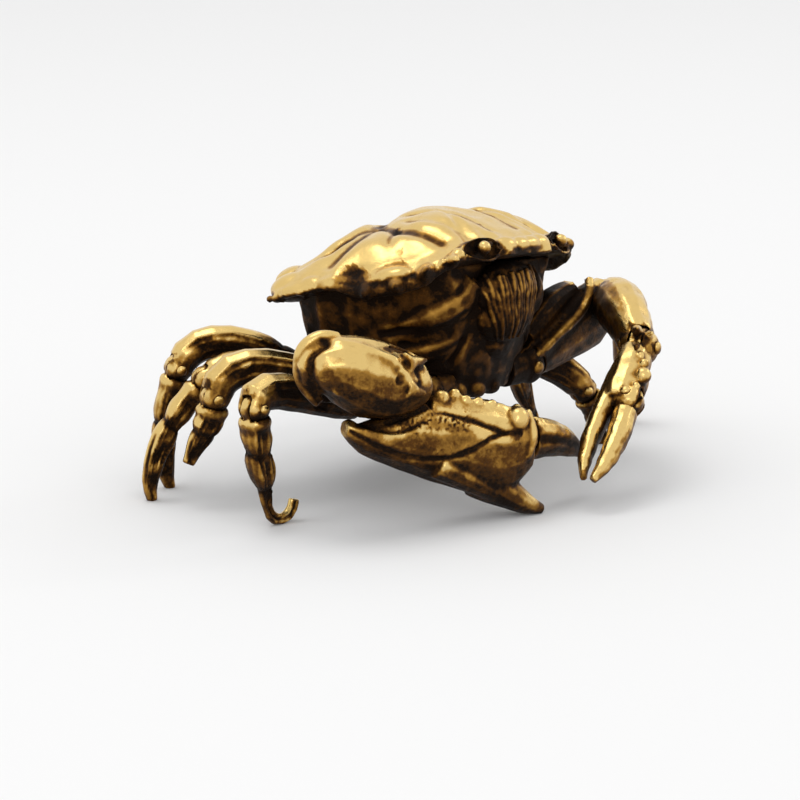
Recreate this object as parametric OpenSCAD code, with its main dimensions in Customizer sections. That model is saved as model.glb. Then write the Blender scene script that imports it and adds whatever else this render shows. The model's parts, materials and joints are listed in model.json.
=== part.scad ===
// Jointed brass crab ornament. It faces -Y, its left side is +X, and it stands on its feet at z = 0.
// Each limb is drawn in its own upright plane: reach runs outwards from the hip, height is up.

/* [Shell] */
// Width of the carapace across its widest teeth
carapace_w = 38.6; // [37:0.2:40]
// Length of the carapace from its front lobes to its rear edge
carapace_l = 28.4; // [27.6:0.2:29.2]
// Height of the dome above the shell's rim
dome_h = 6; // [5.4:0.1:6.8]
// Height of the upright edge round the shell
rim_h = 0.9; // [0.7:0.1:1.2]
// Thickness of the carapace wall
shell_wall = 1.6; // [1.3:0.1:1.9]
// Height of the shell's centre above the ground
shell_z = 23.4; // [23:0.1:23.8]
// Angle that the nose is raised by
nose_up = 17; // [15:1:19]
// Angle that the right side is raised by
lean = 5; // [3:0.5:6]

/* [Body] */
// Half width of the belly
belly_w = 11; // [10.7:0.1:11.4]
// Half length of the belly
belly_l = 10.2; // [9.8:0.1:10.6]
// Height of the belly's middle above the ground
belly_z = 10.2; // [9.8:0.1:10.4]
// Angle that the belly's front is raised by
belly_up = 5; // [3:1:7]
// Radius of an eye's ball
eye_r = 1.1; // [0.9:0.05:1.2]
// Thickness of a mouth plate
mouth_t = 2; // [1.7:0.1:2.3]
// Thickness of the tail flap folded under the belly
tail_t = 0.8; // [0.6:0.1:1]

/* [Joints] */
// Radius of the ball at a walking leg's hip and knee
leg_ball = 1.75; // [1.65:0.05:1.85]
// Thickness of a walking leg's tongue
leg_tongue = 1.1; // [0.9:0.05:1.3]
// Radius of a walking leg's rivet
leg_rivet = 0.45; // [0.4:0.01:0.5]
// Radius of the ball at a claw's shoulder, elbow and wrist
claw_ball = 2.3; // [2.2:0.05:2.4]
// Thickness of a claw's tongue
claw_tongue = 1.4; // [1.2:0.05:1.6]
// Radius of a claw's rivet
claw_rivet = 0.6; // [0.5:0.01:0.7]
// Radial clearance of a rivet in its holes
rivet_fit = 0.03; // [0.02:0.01:0.05]
// Gap each side of a tongue in its slot, and around a ball
play = 0.15; // [0.12:0.01:0.18]
// Distance from a walking leg's hip rivet to its seat on the body
hip_stand = 3.4; // [3.2:0.1:3.8]
// Distance from a claw's shoulder rivet to its seat on the body
shoulder_stand = 4; // [3.8:0.1:4.4]
// Length of the peg that holds a hip in the body
peg_l = 2; // [1.6:0.1:2.4]

/* [Limbs] */
// Half width of a walking leg's thigh
thigh_r = 1.85; // [1.7:0.05:2]
// Half width of a walking leg's shin
shin_r = 1.6; // [1.45:0.05:1.75]
// Half thickness of the right palm
palm_r = 3.3; // [3:0.1:3.6]
// Half thickness of the left palm
small_palm_r = 2.5; // [2.3:0.1:2.7]

/* [Hidden] */
SIDES = 12;
SHELL_Y = -4.7;
BELLY_Y = -3.2;
// Shift that sets the middle of the footprint on the origin
MID_X = -1.35;
MID_Y = 7.25;
LEG = [leg_ball, leg_rivet, leg_tongue];
CLAW = [claw_ball, claw_rivet, claw_tongue];
BRASS = [0.79, 0.62, 0.3];
DARK_BRASS = [0.45, 0.33, 0.14];
BRIGHT_BRASS = [0.9, 0.76, 0.46];

// Right half of the shell's outline as shares of its half width and half length, front to rear
SHELL_EDGE = [
    [0, -1], [0.12, -0.99], [0.2, -1.01], [0.27, -0.95], [0.33, -0.95], [0.38, -0.86], [0.44, -0.86],
    [0.5, -0.9], [0.56, -0.85], [0.62, -0.77], [0.7, -0.67], [0.76, -0.5], [0.85, -0.36], [0.89, -0.14],
    [0.95, 0.02], [0.96, 0.2], [1, 0.36], [0.99, 0.52], [0.93, 0.66], [0.78, 0.8], [0.54, 0.92],
    [0.27, 0.98], [0, 1]
];
// Share of the dome's height at each share of the shell's radius
DOME = [[0, 1], [0.2, 0.97], [0.4, 0.86], [0.6, 0.68], [0.8, 0.41], [0.93, 0.16], [1, 0]];

// Walking legs: hip, plan angle, hip heading, knee, knee heading, shin end, end heading, hook radius,
// hook turn, length of the bend above the knee, and girth. Knee and shin end are reach and height.
RIGHT_LEGS = [
    [[-belly_w - 2.2, 3.6 - belly_l, 11.2], 175.7, 2, [19.4, 13.8], -93, [17.45, 2.26], -100, 2.05, 165, 4.4, 0.98],
    [[-belly_w - 2.4, -2, 11.6], 150, 32, [15.4, 12.3], -80, [18.6, 5], -66, 0, 0, 6, 1],
    [[-belly_w - 2, 2.6, 12], 149.3, 26, [13, 13.4], -42, [19.5, -0.2], -108, 0, 0, 4, 0.86],
    [[-belly_w - 0.6, belly_l - 4.2, 13], 144.9, 36, [14.2, 14], -68, [15.4, -0.2], -106, 0, 0, 5.4, 0.92]
];
LEFT_LEGS = [
    [[belly_w + 2.2, 3.6 - belly_l, 11.4], -27.3, -6, [9.4, 7], -55, [12.3, -0.2], -72, 0, 0, 3.4, 0.94],
    [[belly_w + 2.4, -2, 11.6], -15.9, 12, [22.4, 13.4], -90, [22.8, -0.2], -92, 0, 0, 4, 1],
    [[belly_w + 2, 2.6, 12], -3.6, 26, [12.2, 12], -98, [16.5, -0.2], -56, 0, 0, 4, 0.86],
    [[belly_w + 0.6, belly_l - 3.1, 13], 20, 28, [13.4, 14], -74, [15.5, -0.2], -96, 0, 0, 5, 0.92]
];
// Girth of a thigh and of a shin along their length, as shares of their half width
THIGH_SWELL = [[0, 0.92], [0.25, 1.05], [0.6, 1.1], [0.85, 1.08], [1, 0.96]];
SHIN_SWELL = [[0, 0.98], [0.12, 1.08], [0.3, 1], [0.42, 1.1], [0.62, 0.95], [0.8, 0.7], [1, 0.42]];

// Claw joints. Each is a point, and the limb that leaves it has a plan angle.
RIGHT_SHOULDER = [1 - belly_w, -belly_l - 0.8, 12.2];
RIGHT_ARM_YAW = 181.8;
RIGHT_CLAW = [-25, -16.2];
RIGHT_CLAW_YAW = -27;
RIGHT_HINGE = [-5.5, 17.4];
RIGHT_WRIST = [1, 17.8];
RIGHT_KNUCKLE = [17, 8.8];
RIGHT_FINGER_YAW = -3;
LEFT_SHOULDER = [belly_w - 2.6, -belly_l - 1.6, 12.4];
LEFT_ARM_YAW = -6.9;
LEFT_ELBOW = [14.2, 18.1];
LEFT_CARPUS_YAW = 229.4;
LEFT_WRIST = [15.1, 15.6];
LEFT_CLAW_YAW = 195.8;
LEFT_CLAW_DIP = 33.3;
LEFT_KNUCKLE = [8.8, 1.1];
// The lap joint of the right elbow: the face it shuts on, and the inner end of its rivet's hole
RIGHT_FACE = 1.9;
HINGE_IN = 0.2;
// Middle plane of the right wrist, and the radius that clears its knuckle
WRIST_Y = -0.9;
WRIST_CLEAR = 6.3;
// Ball, rivet and tongue of each finger's hinge
FINGER = [2.6, 0.6, 1.6];
SMALL_FINGER = [2, 0.5, 1.2];
// Half width of the left arm
ARM_R = 2;
// Place of an eye in the shell, and the radius of its stalk
EYE = [7.2, -13, 1.2];
EYE_STALK = 0.45;
// Place of the mouth, and the angle that it leans back by
MOUTH = [0, -15, 21.2];
MOUTH_TILT = 12;
// Swing that the start of each leg's segment leaves room for
LEG_SWING = 20;

// Point at share t of the span after p[i] on a smooth curve through the points p
function spline(p, i, t) =
    let (a = p[max(i - 1, 0)], b = p[i], c = p[i + 1], d = p[min(i + 2, len(p) - 1)])
    0.5 * (2 * b + (c - a) * t + (2 * a - 5 * b + 4 * c - d) * t * t + (3 * b - a - 3 * c + d) * t * t * t);
function smooth(p, k) =
    concat([for (i = [0:len(p) - 2]) for (j = [0:k - 1]) spline(p, i, j / k)], [p[len(p) - 1]]);
function unit(a) = [cos(a), sin(a)];
// Point at share t of a curve from a at heading u to b at heading w, which turns over a length e at b
function bow(a, b, u, w, e, t) =
    let (p = a + 0.36 * norm(b - a) * unit(u), q = b - e * unit(w), s = 1 - t)
    s * s * s * a + 3 * s * s * t * p + 3 * s * t * t * q + t * t * t * b;
// Direction of the path of stations p at station i
function heading(p, i) =
    let (a = p[max(i - 1, 0)], b = p[min(i + 1, len(p) - 1)], d = [b[0] - a[0], b[1] - a[1]]) d / norm(d);
// Clear start of a limb whose half height is r, which swings by angle a about its rivet
function start_gap(r, a) = r * sin(a) + play;

// Solid limb through stations of reach, height, half width at +Y, at -Y, height up and height down
module limb(st) {
    m = len(st);
    pts = [for (i = [0:m - 1]) let (t = heading(st, i)) for (k = [0:SIDES - 1])
        let (c = cos(360 * (k + 0.5) / SIDES), s = sin(360 * (k + 0.5) / SIDES))
        let (h = s * (s >= 0 ? st[i][4] : st[i][5]), w = c * (c >= 0 ? st[i][2] : st[i][3]))
        [st[i][0] - t[1] * h, w, st[i][1] + t[0] * h]];
    side = [for (i = [0:m - 2]) for (k = [0:SIDES - 1])
        let (a = i * SIDES + k, b = i * SIDES + (k + 1) % SIDES)
        each [[a, a + SIDES, b + SIDES], [a, b + SIDES, b]]];
    ends = [[for (k = [0:SIDES - 1]) k], [for (k = [SIDES - 1:-1:0]) (m - 1) * SIDES + k]];
    polyhedron(pts, concat(side, ends));
}

// Colours a piece and sets it about the middle of the footprint
module brass(tone) {
    color(tone) translate([MID_X, MID_Y, 0]) children();
}
// Round bar of length l along Y
module across(l, r) {
    rotate([90, 0, 0]) cylinder(h = l, r = r, center = true, $fn = 32);
}
// Ball of a joint, the slot through it, the hole of its rivet, and the rivet itself
module ball(k) {
    sphere(r = k[0], $fn = 32);
}
module slot(k) {
    across(k[2] + 2 * play, k[0] + play);
}
module hole(k) {
    across(6 * k[0], k[1] + rivet_fit);
}
module rivet(k) {
    across(2 * sqrt(k[0] * k[0] - k[1] * k[1]), k[1]);
}
// Tongue that fills the slot, with a web that leaves at angle a and is l long
module tongue(k, l, a) {
    across(k[2], k[0] - play);
    rotate([0, -a, 0]) translate([0, -k[2] / 2, -0.45 * k[0]]) cube([l, k[2], 0.9 * k[0]]);
}
// Everything below the ground
module ground() {
    translate([-60, -60, -20]) cube([120, 120, 20]);
}
// Places a limb's plane at plan point p and plan angle a, with height measured from the ground
module plane(p, a) {
    translate([p[0], p[1], 0]) rotate([0, 0, a]) children();
}
module at(q) {
    translate([q[0], 0, q[1]]) children();
}

// Frame of the shell, whose local z = 0 is the underside of its rim
module shell_frame() {
    translate([0, SHELL_Y, shell_z]) rotate([-nose_up, lean, 0]) children();
}
EDGE = let (h = [for (q = smooth(SHELL_EDGE, 2)) [q[0] * carapace_w / 2, q[1] * carapace_l / 2]], n = len(h))
    concat(h, [for (i = [n - 2:-1:1]) [-h[i][0], h[i][1]]]);
COUNT = len(EDGE);
function lobes(q) =
    0.9 * exp(-(pow(q[0], 2) + pow(q[1] - 2, 2)) / 40)
    + 0.5 * exp(-(pow(abs(q[0]) - 11, 2) + pow(q[1] - 2, 2)) / 26)
    + 0.5 * exp(-(pow(abs(q[0]) - 5, 2) + pow(q[1] + 6, 2)) / 16);
function dome(q, k) = rim_h + dome_h * lookup(k, DOME) + (1 - k) * lobes(q);
module carapace() {
    outer = [1, 0.93, 0.8, 0.6, 0.4, 0.2];
    under = [for (k = [0.8, 1]) for (q = EDGE) [k * q[0], k * q[1], 0]];
    top = [for (k = outer) for (q = EDGE) [k * q[0], k * q[1], dome(k * q, k)]];
    cave = [for (k = [0.2, 0.38, 0.56, 0.74]) for (q = EDGE) [k * q[0], k * q[1], dome(k * q, k) - shell_wall]];
    pts = concat(under, top, [[0, 0, dome([0, 0], 0)]], cave, [[0, 0, dome([0, 0], 0) - shell_wall]]);
    crown = 8 * COUNT;
    low = crown + 1;
    hub = low + 4 * COUNT;
    ring = [for (i = [0:6]) for (j = [0:COUNT - 1])
        let (a = i * COUNT + j, b = i * COUNT + (j + 1) % COUNT)
        each [[a, b, b + COUNT], [a, b + COUNT, a + COUNT]]];
    cap = [for (j = [0:COUNT - 1]) [7 * COUNT + j, 7 * COUNT + (j + 1) % COUNT, crown]];
    roof = [for (j = [0:COUNT - 1]) [low + (j + 1) % COUNT, low + j, hub]];
    vault = [for (i = [0:2]) for (j = [0:COUNT - 1])
        let (a = low + i * COUNT + j, b = low + i * COUNT + (j + 1) % COUNT)
        each [[a, b, b + COUNT], [a, b + COUNT, a + COUNT]]];
    lip = [for (j = [0:COUNT - 1])
        let (a = low + 3 * COUNT + j, b = low + 3 * COUNT + (j + 1) % COUNT, c = (j + 1) % COUNT)
        each [[a, b, c], [a, c, j]]];
    brass(BRIGHT_BRASS) shell_frame() difference() {
        polyhedron(pts, [for (f = concat(ring, cap, roof, vault, lip)) [f[2], f[1], f[0]]]);
        for (s = [-1, 1]) orbit(s) {
            sphere(r = eye_r + 0.6, $fn = 32);
            translate([0, 0, -6 * eye_r]) cylinder(h = 6 * eye_r, r = EYE_STALK + rivet_fit, $fn = 24);
        }
    }
}
// Frame of an eye in the shell, whose local z points out of the head
module orbit(s) {
    translate([s * EYE[0], EYE[1], EYE[2]]) rotate([90, 0, s * 18]) children();
}
module eye(s) {
    brass(BRIGHT_BRASS) shell_frame() orbit(s) {
        sphere(r = eye_r, $fn = 32);
        translate([0, 0, -2.8 * eye_r]) cylinder(h = 2.8 * eye_r, r = EYE_STALK, $fn = 24);
    }
}

// Coarser outline that the body follows where it meets the shell
RIM = [for (i = [0:4:COUNT - 1]) EDGE[i]];
// Point i of the belly's outline, of the shell's underside, and of the body between them at share t
function belly(i) =
    let (a = atan2(RIM[i][1] / carapace_l, RIM[i][0] / carapace_w))
    let (c = cos(a), s = sin(a), r = pow(pow(abs(c), 2.6) + pow(abs(s), 2.6), -1 / 2.6))
    let (x = belly_w * r * c * (s < 0 ? 1 - 0.42 * s * s : 1), y = belly_l * r * s)
    [x, BELLY_Y + cos(belly_up) * y, belly_z - sin(belly_up) * y];
function tilted(q) =
    let (y = q[1] * cos(nose_up), z = -q[1] * sin(nose_up))
    [q[0] * cos(lean) + z * sin(lean), y + SHELL_Y, -q[0] * sin(lean) + z * cos(lean) + shell_z];
function flank(i, t) =
    let (a = belly(i), b = tilted(0.85 * RIM[i]), o = 0.5 * sin(180 * t), d = RIM[i] / norm(RIM[i]))
    a + (b - a) * t + [o * d[0], 0.4 * o * d[1], 0];
// Frame of the mouth, whose local z points forwards
module mouth_frame() {
    translate(MOUTH) rotate([90 - MOUTH_TILT, 0, 0]) children();
}
module underbody() {
    levels = 4;
    m = len(RIM);
    pts = [for (j = [0:levels]) for (i = [0:m - 1]) flank(i, j / levels)];
    side = [for (j = [0:levels - 1]) for (i = [0:m - 1])
        let (a = j * m + i, b = j * m + (i + 1) % m) each [[a, b + m, b], [a, a + m, b + m]]];
    ends = [[for (i = [0:m - 1]) i], [for (i = [m - 1:-1:0]) levels * m + i]];
    brass(DARK_BRASS) difference() {
        polyhedron(pts, concat(side, ends));
        mouth_frame() translate([-9, -9, 0]) cube([18, 18, 10]);
        for (leg = concat(RIGHT_LEGS, LEFT_LEGS)) seat_cut(leg[0], leg[1], hip_stand, LEG);
        seat_cut(RIGHT_SHOULDER, RIGHT_ARM_YAW, shoulder_stand, CLAW);
        seat_cut(LEFT_SHOULDER, LEFT_ARM_YAW, shoulder_stand, CLAW);
    }
}
// Flat seat and blind peg hole that a hip needs in the body
module seat_cut(p, a, stand, k) {
    plane(p, a) at([-stand, p[2]]) rotate([0, 90, 0]) {
        cylinder(h = 3 * stand, r = k[0] + play, $fn = 32);
        translate([0, 0, -peg_l - play]) cylinder(h = peg_l + play + 1, r = 0.5 * k[0] + rivet_fit, $fn = 32);
    }
    // room for the limb to swing up past the flank
    plane(p, a) at([0, p[2]]) translate([-0.3, -k[0] - play, 0])
        cube([3 * stand, 2 * (k[0] + play), 2.6 * k[0]]);
}
// Hip of a limb: a peg in the body, a round stem and the slotted ball that takes the rivet
module hip(p, a, stand, k) {
    plane(p, a) at([0, p[2]]) difference() {
        union() {
            ball(k);
            translate([-stand, 0, 0]) rotate([0, 90, 0]) cylinder(h = stand, r = 0.88 * k[0], $fn = 32);
            translate([-stand - peg_l, 0, 0]) rotate([0, 90, 0])
                cylinder(h = peg_l + 1, r = 0.5 * k[0], $fn = 32);
        }
        slot(k);
        hole(k);
        translate([0, -k[2] / 2 - play, -2 * k[0]]) cube([2 * k[0], k[2] + 2 * play, 4 * k[0]]);
        translate([0, -2 * k[0], -2 * k[0]]) difference() {
            cube([2 * k[0], 4 * k[0], 4 * k[0]]);
            translate([0, 2 * k[0], 2 * k[0]]) ball(k);
        }
    }
}
// Two jaw plates that lie on the flat of the mouth
module mouthparts() {
    brass(BRASS) for (s = [-1, 1]) mouth_frame() translate([s * 0.1, 0, 0]) linear_extrude(mouth_t)
        polygon([[0, -5.2], [s * 2.4, -4.6], [s * 3.9, -2], [s * 4.3, 1.5], [s * 3.7, 4], [s * 1.2, 4.8],
            [0, 4.6]]);
}
// Tail flap, in steps that widen towards the rear
module abdomen() {
    brass(BRASS) translate([0, BELLY_Y, belly_z]) rotate([-belly_up, 0, 0])
        translate([0, 0, -tail_t]) linear_extrude(tail_t)
        polygon([[-1.2, -6.6], [1.2, -6.6], [2.6, -4.4], [3.4, -1.4], [4.4, 1.8], [4.6, 5], [3.4, 7.6],
            [-3.4, 7.6], [-4.6, 5], [-4.4, 1.8], [-3.4, -1.4], [-2.6, -4.4]]);
}

// Thigh, which has a tongue at the hip and a slotted ball at the knee
module thigh(leg) {
    r = thigh_r * leg[10];
    hip = [0, leg[0][2]];
    gap = start_gap(r, LEG_SWING);
    from = hip + gap * unit(leg[2]);
    st = [for (i = [0:8])
        let (t = i / 8, q = bow(from, leg[3], leg[2], leg[4], leg[9], t), g = r * lookup(t, THIGH_SWELL))
        [q[0], q[1], g, g, 1.05 * g, 1.05 * g]];
    brass(BRASS) plane(leg[0], leg[1]) difference() {
        union() {
            difference() {
                limb(st);
                at(hip) sphere(r = leg_ball + play, $fn = 32);
            }
            at(hip) tongue(LEG, leg_ball + 1, leg[2]);
            at(leg[3]) ball(LEG);
        }
        at(hip) hole(LEG);
        at(leg[3]) slot(LEG);
        at(leg[3]) hole(LEG);
    }
}
// Shin, which has a tongue at the knee and a toe cut flat where it meets the ground
module shin(leg) {
    r = shin_r * leg[10];
    gap = start_gap(r, LEG_SWING);
    from = leg[3] + gap * unit(leg[4]);
    toe = r * SHIN_SWELL[len(SHIN_SWELL) - 1][1];
    run = [for (i = [0:9])
        let (t = i / 9, q = bow(from, leg[5], leg[4], leg[6], 4, t), g = r * lookup(t, SHIN_SWELL))
        [q[0], q[1], g, g, g, g]];
    hub = leg[5] + leg[7] * unit(leg[6] - 90);
    curl = [for (i = [1:leg[8] == 0 ? 0 : 6])
        let (q = hub + leg[7] * unit(leg[6] + 90 - leg[8] * i / 6)) [q[0], q[1], toe, toe, toe, toe]];
    brass(BRASS) difference() {
        plane(leg[0], leg[1]) difference() {
            union() {
                difference() {
                    limb(concat(run, curl));
                    at(leg[3]) sphere(r = leg_ball + play, $fn = 32);
                }
                at(leg[3]) tongue(LEG, leg_ball + 1, leg[4]);
            }
            at(leg[3]) hole(LEG);
        }
        ground();
    }
}
module knee_rivet(leg) {
    brass(BRIGHT_BRASS) plane(leg[0], leg[1]) at(leg[3]) rivet(LEG);
}
module hip_rivets() {
    brass(BRIGHT_BRASS) for (leg = concat(RIGHT_LEGS, LEFT_LEGS))
        plane(leg[0], leg[1]) at([0, leg[0][2]]) rivet(LEG);
}

// Right claw. Its arm lies behind the plane of the claw, and its elbow is a lap joint.
module right_claw_plane() {
    plane(RIGHT_CLAW, RIGHT_CLAW_YAW) children();
}
// Slab of the right claw's plane from y = a backwards or forwards
module slab(a, b) {
    translate([-40, a, -10]) cube([90, b - a, 60]);
}
module right_arm() {
    keys = [
        [start_gap(2, 15), 12.45, 2, 2, 2.1, 2.1], [5, 13.8, 1.9, 1.9, 2.3, 2.2], [11, 15.6, 2, 2, 2.8, 2.6],
        [16, 17, 2.2, 2.2, 3.2, 3], [19.6, 17.6, 2.2, 2.2, 3, 2.8], [21.4, 17.8, 1.4, 1.4, 1.9, 1.8]
    ];
    brass(BRASS) difference() {
        plane(RIGHT_SHOULDER, RIGHT_ARM_YAW) difference() {
            union() {
                difference() {
                    limb(smooth(keys, 2));
                    at([0, RIGHT_SHOULDER[2]]) sphere(r = claw_ball + play, $fn = 32);
                }
                at([0, RIGHT_SHOULDER[2]]) tongue(CLAW, claw_ball + 1.4, 14);
            }
            at([0, RIGHT_SHOULDER[2]]) hole(CLAW);
        }
        right_claw_plane() slab(-20, RIGHT_FACE);
        right_claw_plane() at(RIGHT_HINGE) hole(CLAW);
    }
}
module right_carpus() {
    keys = [
        [-9.1, 18.6, 1.4, 1.4, 1.1, 1.1], [-8, 18.8, 1.4, 2.6, 2.5, 2.3], [-5.4, 19.1, 1.6, 3.8, 3.5, 3.4],
        [-2.4, 18, 1.6, 4.3, 4.3, 4.3], [0.6, 16.9, 1.6, 4.1, 4.3, 4.5], [3.4, 16.6, 1.6, 3.4, 3.5, 3.8],
        [5.3, 16.5, 1.5, 2.4, 2.4, 2.7], [6.2, 16.6, 1.2, 1.3, 1.3, 1.4]
    ];
    brass(BRIGHT_BRASS) right_claw_plane() difference() {
        limb(smooth(keys, 2));
        slab(RIGHT_FACE - play, 20);
        at(RIGHT_HINGE) rivet_hole(HINGE_IN);
        translate([0, WRIST_Y, 0]) at(RIGHT_WRIST) wrist_slot();
        at(RIGHT_WRIST) hole(CLAW);
    }
}
// Hole of the elbow rivet, which stops at y = a
module rivet_hole(a) {
    translate([0, a, 0]) rotate([-90, 0, 0]) cylinder(h = 8, r = claw_rivet + rivet_fit, $fn = 32);
}
// Opening in the carpus for the palm's tongue and its swing
module wrist_slot() {
    across(claw_tongue + 2 * play, claw_ball + 0.7 + play);
    rotate([90, 0, 0]) linear_extrude(claw_tongue + 2 * play, center = true)
        polygon([[0, 2.6], [2.6, 1.8], [12, -3.4], [6, -14], [-5.2, -12], [-2.6, -0.6]]);
}
// Broad hand of the right claw, and the fixed finger that reaches down from it
module right_hand() {
    g = palm_r / 3.3;
    keys = [
        [-4, 12.2, 1, 1.4, 0.8, 0.8], [-1.6, 11.6, 1.5, 2.4, 2.2, 2.6], [2, 11, 1.6, 3, 3.4, 3.8],
        [6, 10.2, 2.4, 3.3, 4.6, 4.7], [10, 9.1, 3.1, 3.3, 5.2, 5.2], [14, 8, 3.1, 3.1, 5.4, 5.4],
        [16.6, 8.1, 2.8, 2.8, 4.6, 4.3], [18.2, 8.2, 2.3, 2.3, 4, 3]
    ];
    limb([for (s = smooth(keys, 2)) [s[0], s[1], s[2] * g, s[3] * g, s[4], s[5]]]);
}
module right_tip() {
    keys = [
        [12.4, 5.2, 2.4, 2.4, 2.6, 2.8], [15.6, 2.9, 1.9, 1.9, 1.9, 1.9], [18.2, 1.3, 1.3, 1.3, 1.2, 1.2],
        [20.2, 0.4, 0.7, 0.7, 0.6, 0.6]
    ];
    limb(smooth(keys, 2));
}
module right_palm() {
    brass(BRASS) difference() {
        right_claw_plane() difference() {
            union() {
                difference() {
                    union() {
                        right_hand();
                        right_tip();
                    }
                    at(RIGHT_WRIST) across(20, WRIST_CLEAR);
                    slab(RIGHT_FACE - play, 20);
                }
                difference() {
                    right_hand();
                    slab(-20, RIGHT_FACE - play);
                    translate([-20, -10, -10]) cube([23.4, 40, 50]);
                }
                translate([0, WRIST_Y, 0]) at(RIGHT_WRIST) {
                    across(claw_tongue, claw_ball + 0.7 - play);
                    rotate([0, 66, 0]) translate([0, -claw_tongue / 2, -1.8])
                        cube([WRIST_CLEAR + 1.2, claw_tongue, 3.6]);
                }
            }
            at(RIGHT_WRIST) hole(CLAW);
        }
        right_finger_frame() slot(FINGER);
        right_finger_frame() hole(FINGER);
        ground();
    }
}
module right_finger_frame() {
    right_claw_plane() at(RIGHT_KNUCKLE) rotate([0, 0, RIGHT_FINGER_YAW - RIGHT_CLAW_YAW]) children();
}
module right_finger() {
    keys = [
        [2.4, -0.3, 1.5, 1.5, 2.5, 2.6], [5, -0.7, 1.5, 1.5, 2.2, 2.3], [7.8, -1.6, 1.2, 1.2, 1.8, 1.9],
        [10, -2.7, 0.9, 0.9, 1.2, 1.3], [11.6, -3.8, 0.45, 0.45, 0.55, 0.55]
    ];
    brass(BRASS) right_finger_frame() difference() {
        union() {
            difference() {
                limb(smooth(keys, 2));
                ball([FINGER[0] + play, 0, 0]);
            }
            tongue(FINGER, FINGER[0] + 1, 0);
        }
        hole(FINGER);
    }
}

// Rivet of the right elbow's lap joint, from the back of the arm into the carpus
module right_elbow_rivet() {
    brass(BRIGHT_BRASS) right_claw_plane() translate([0, HINGE_IN + play, 0]) at(RIGHT_HINGE)
        rotate([-90, 0, 0]) cylinder(h = RIGHT_FACE + 1.8, r = claw_rivet, $fn = 32);
}
module right_wrist_rivet() {
    brass(BRIGHT_BRASS) right_claw_plane() translate([0, WRIST_Y, 0]) at(RIGHT_WRIST) across(4.6, claw_rivet);
}

// Left claw. Its elbow rivet is upright, and its palm dips towards the ground and lies on its side.
module left_arm_plane() {
    plane(LEFT_SHOULDER, LEFT_ARM_YAW) children();
}
module left_elbow_frame() {
    left_arm_plane() at(LEFT_ELBOW) rotate([0, 0, LEFT_CARPUS_YAW - LEFT_ARM_YAW]) children();
}
module left_wrist_frame() {
    left_elbow_frame() at([LEFT_WRIST[0], LEFT_WRIST[1] - LEFT_ELBOW[1]])
        rotate([0, LEFT_CLAW_DIP, LEFT_CLAW_YAW - LEFT_CARPUS_YAW]) children();
}
module upright() {
    rotate([90, 0, 0]) children();
}
module left_arm() {
    keys = [
        [start_gap(2, 15), 12.85, 2, 2, 2, 2.2], [3.6, 13.9, 1.9, 1.9, 2.6, 2.8], [7.6, 15.4, 2, 2, 3.6, 3.6],
        [11, 16.9, 2, 2, 3.9, 4.2], [14.2, 18.2, 1.9, 1.9, 3.1, 3.1]
    ];
    brass(BRASS) difference() {
        left_arm_plane() difference() {
            union() {
                difference() {
                    limb(smooth(keys, 2));
                    at([0, LEFT_SHOULDER[2]]) sphere(r = claw_ball + play, $fn = 32);
                }
                at([0, LEFT_SHOULDER[2]]) tongue(CLAW, claw_ball + 1.4, 24);
                at(LEFT_ELBOW) ball(CLAW);
            }
            at([0, LEFT_SHOULDER[2]]) hole(CLAW);
        }
        left_elbow_frame() upright() slot(CLAW);
        left_elbow_frame() upright() hole(CLAW);
        left_elbow_frame() translate([0, 0, -claw_tongue / 2 - play]) linear_extrude(claw_tongue + 2 * play)
            polygon([[0, -1.2], [8, -1.2], [8, 9], [0, 4]]);
    }
}
module left_carpus() {
    keys = [
        [start_gap(2.6, 20), 0.1, 2.3, 2.3, 2.4, 2.4], [3.8, 0.5, 2.8, 2.8, 3.2, 3], [7.4, 0.2, 3, 3, 3.5, 3.2],
        [11, -0.9, 2.6, 2.6, 3, 2.8], [14, -2, 2.2, 2.2, 2.3, 2.3], [15.1, -2.5, 2, 2, 2.1, 2.1]
    ];
    brass(BRIGHT_BRASS) difference() {
        left_elbow_frame() difference() {
            union() {
                difference() {
                    limb(smooth(keys, 2));
                    ball([claw_ball + play, 0, 0]);
                    rotate([0, 0, LEFT_ARM_YAW - LEFT_CARPUS_YAW]) translate([-20, -ARM_R - play, -20])
                        cube([20, 30, 40]);
                }
                upright() tongue(CLAW, claw_ball + 1.8, 0);
                at([LEFT_WRIST[0], LEFT_WRIST[1] - LEFT_ELBOW[1]]) ball(CLAW);
            }
            upright() hole(CLAW);
        }
        left_wrist_frame() slot(CLAW);
        left_wrist_frame() hole(CLAW);
    }
}
module left_palm() {
    keys = [
        [start_gap(2.2, 20), 0, 2.1, 2.1, 1.9, 1.9], [3.4, 0, 2.5, 2.5, 2.2, 2.1], [6, 0, 2.5, 2.5, 2.7, 2.4],
        [8.2, 0, 2.3, 2.3, 2.5, 2.4], [9.4, 0.1, 2, 2, 2, 2.1]
    ];
    tip = [
        [7, -0.9, 1.9, 1.9, 1.2, 1.5], [11, -1.3, 1.6, 1.6, 1.2, 1.3], [15, -1.5, 1.3, 1.3, 1.1, 1.1],
        [18.6, -1.2, 0.9, 0.9, 0.8, 0.8], [21, -0.6, 0.5, 0.5, 0.45, 0.45]
    ];
    g = small_palm_r / 2.5;
    brass(BRASS) left_wrist_frame() difference() {
        union() {
            difference() {
                rotate([-90, 0, 0]) union() {
                    limb([for (s = smooth(keys, 2)) [s[0], s[1], s[2] * g, s[3] * g, s[4], s[5]]]);
                    limb(smooth(tip, 2));
                    at(LEFT_KNUCKLE) ball(SMALL_FINGER);
                }
                ball([claw_ball + play, 0, 0]);
            }
            tongue(CLAW, claw_ball + 1.4, 0);
        }
        hole(CLAW);
        rotate([-90, 0, 0]) at(LEFT_KNUCKLE) slot(SMALL_FINGER);
        rotate([-90, 0, 0]) at(LEFT_KNUCKLE) hole(SMALL_FINGER);
    }
}
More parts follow.
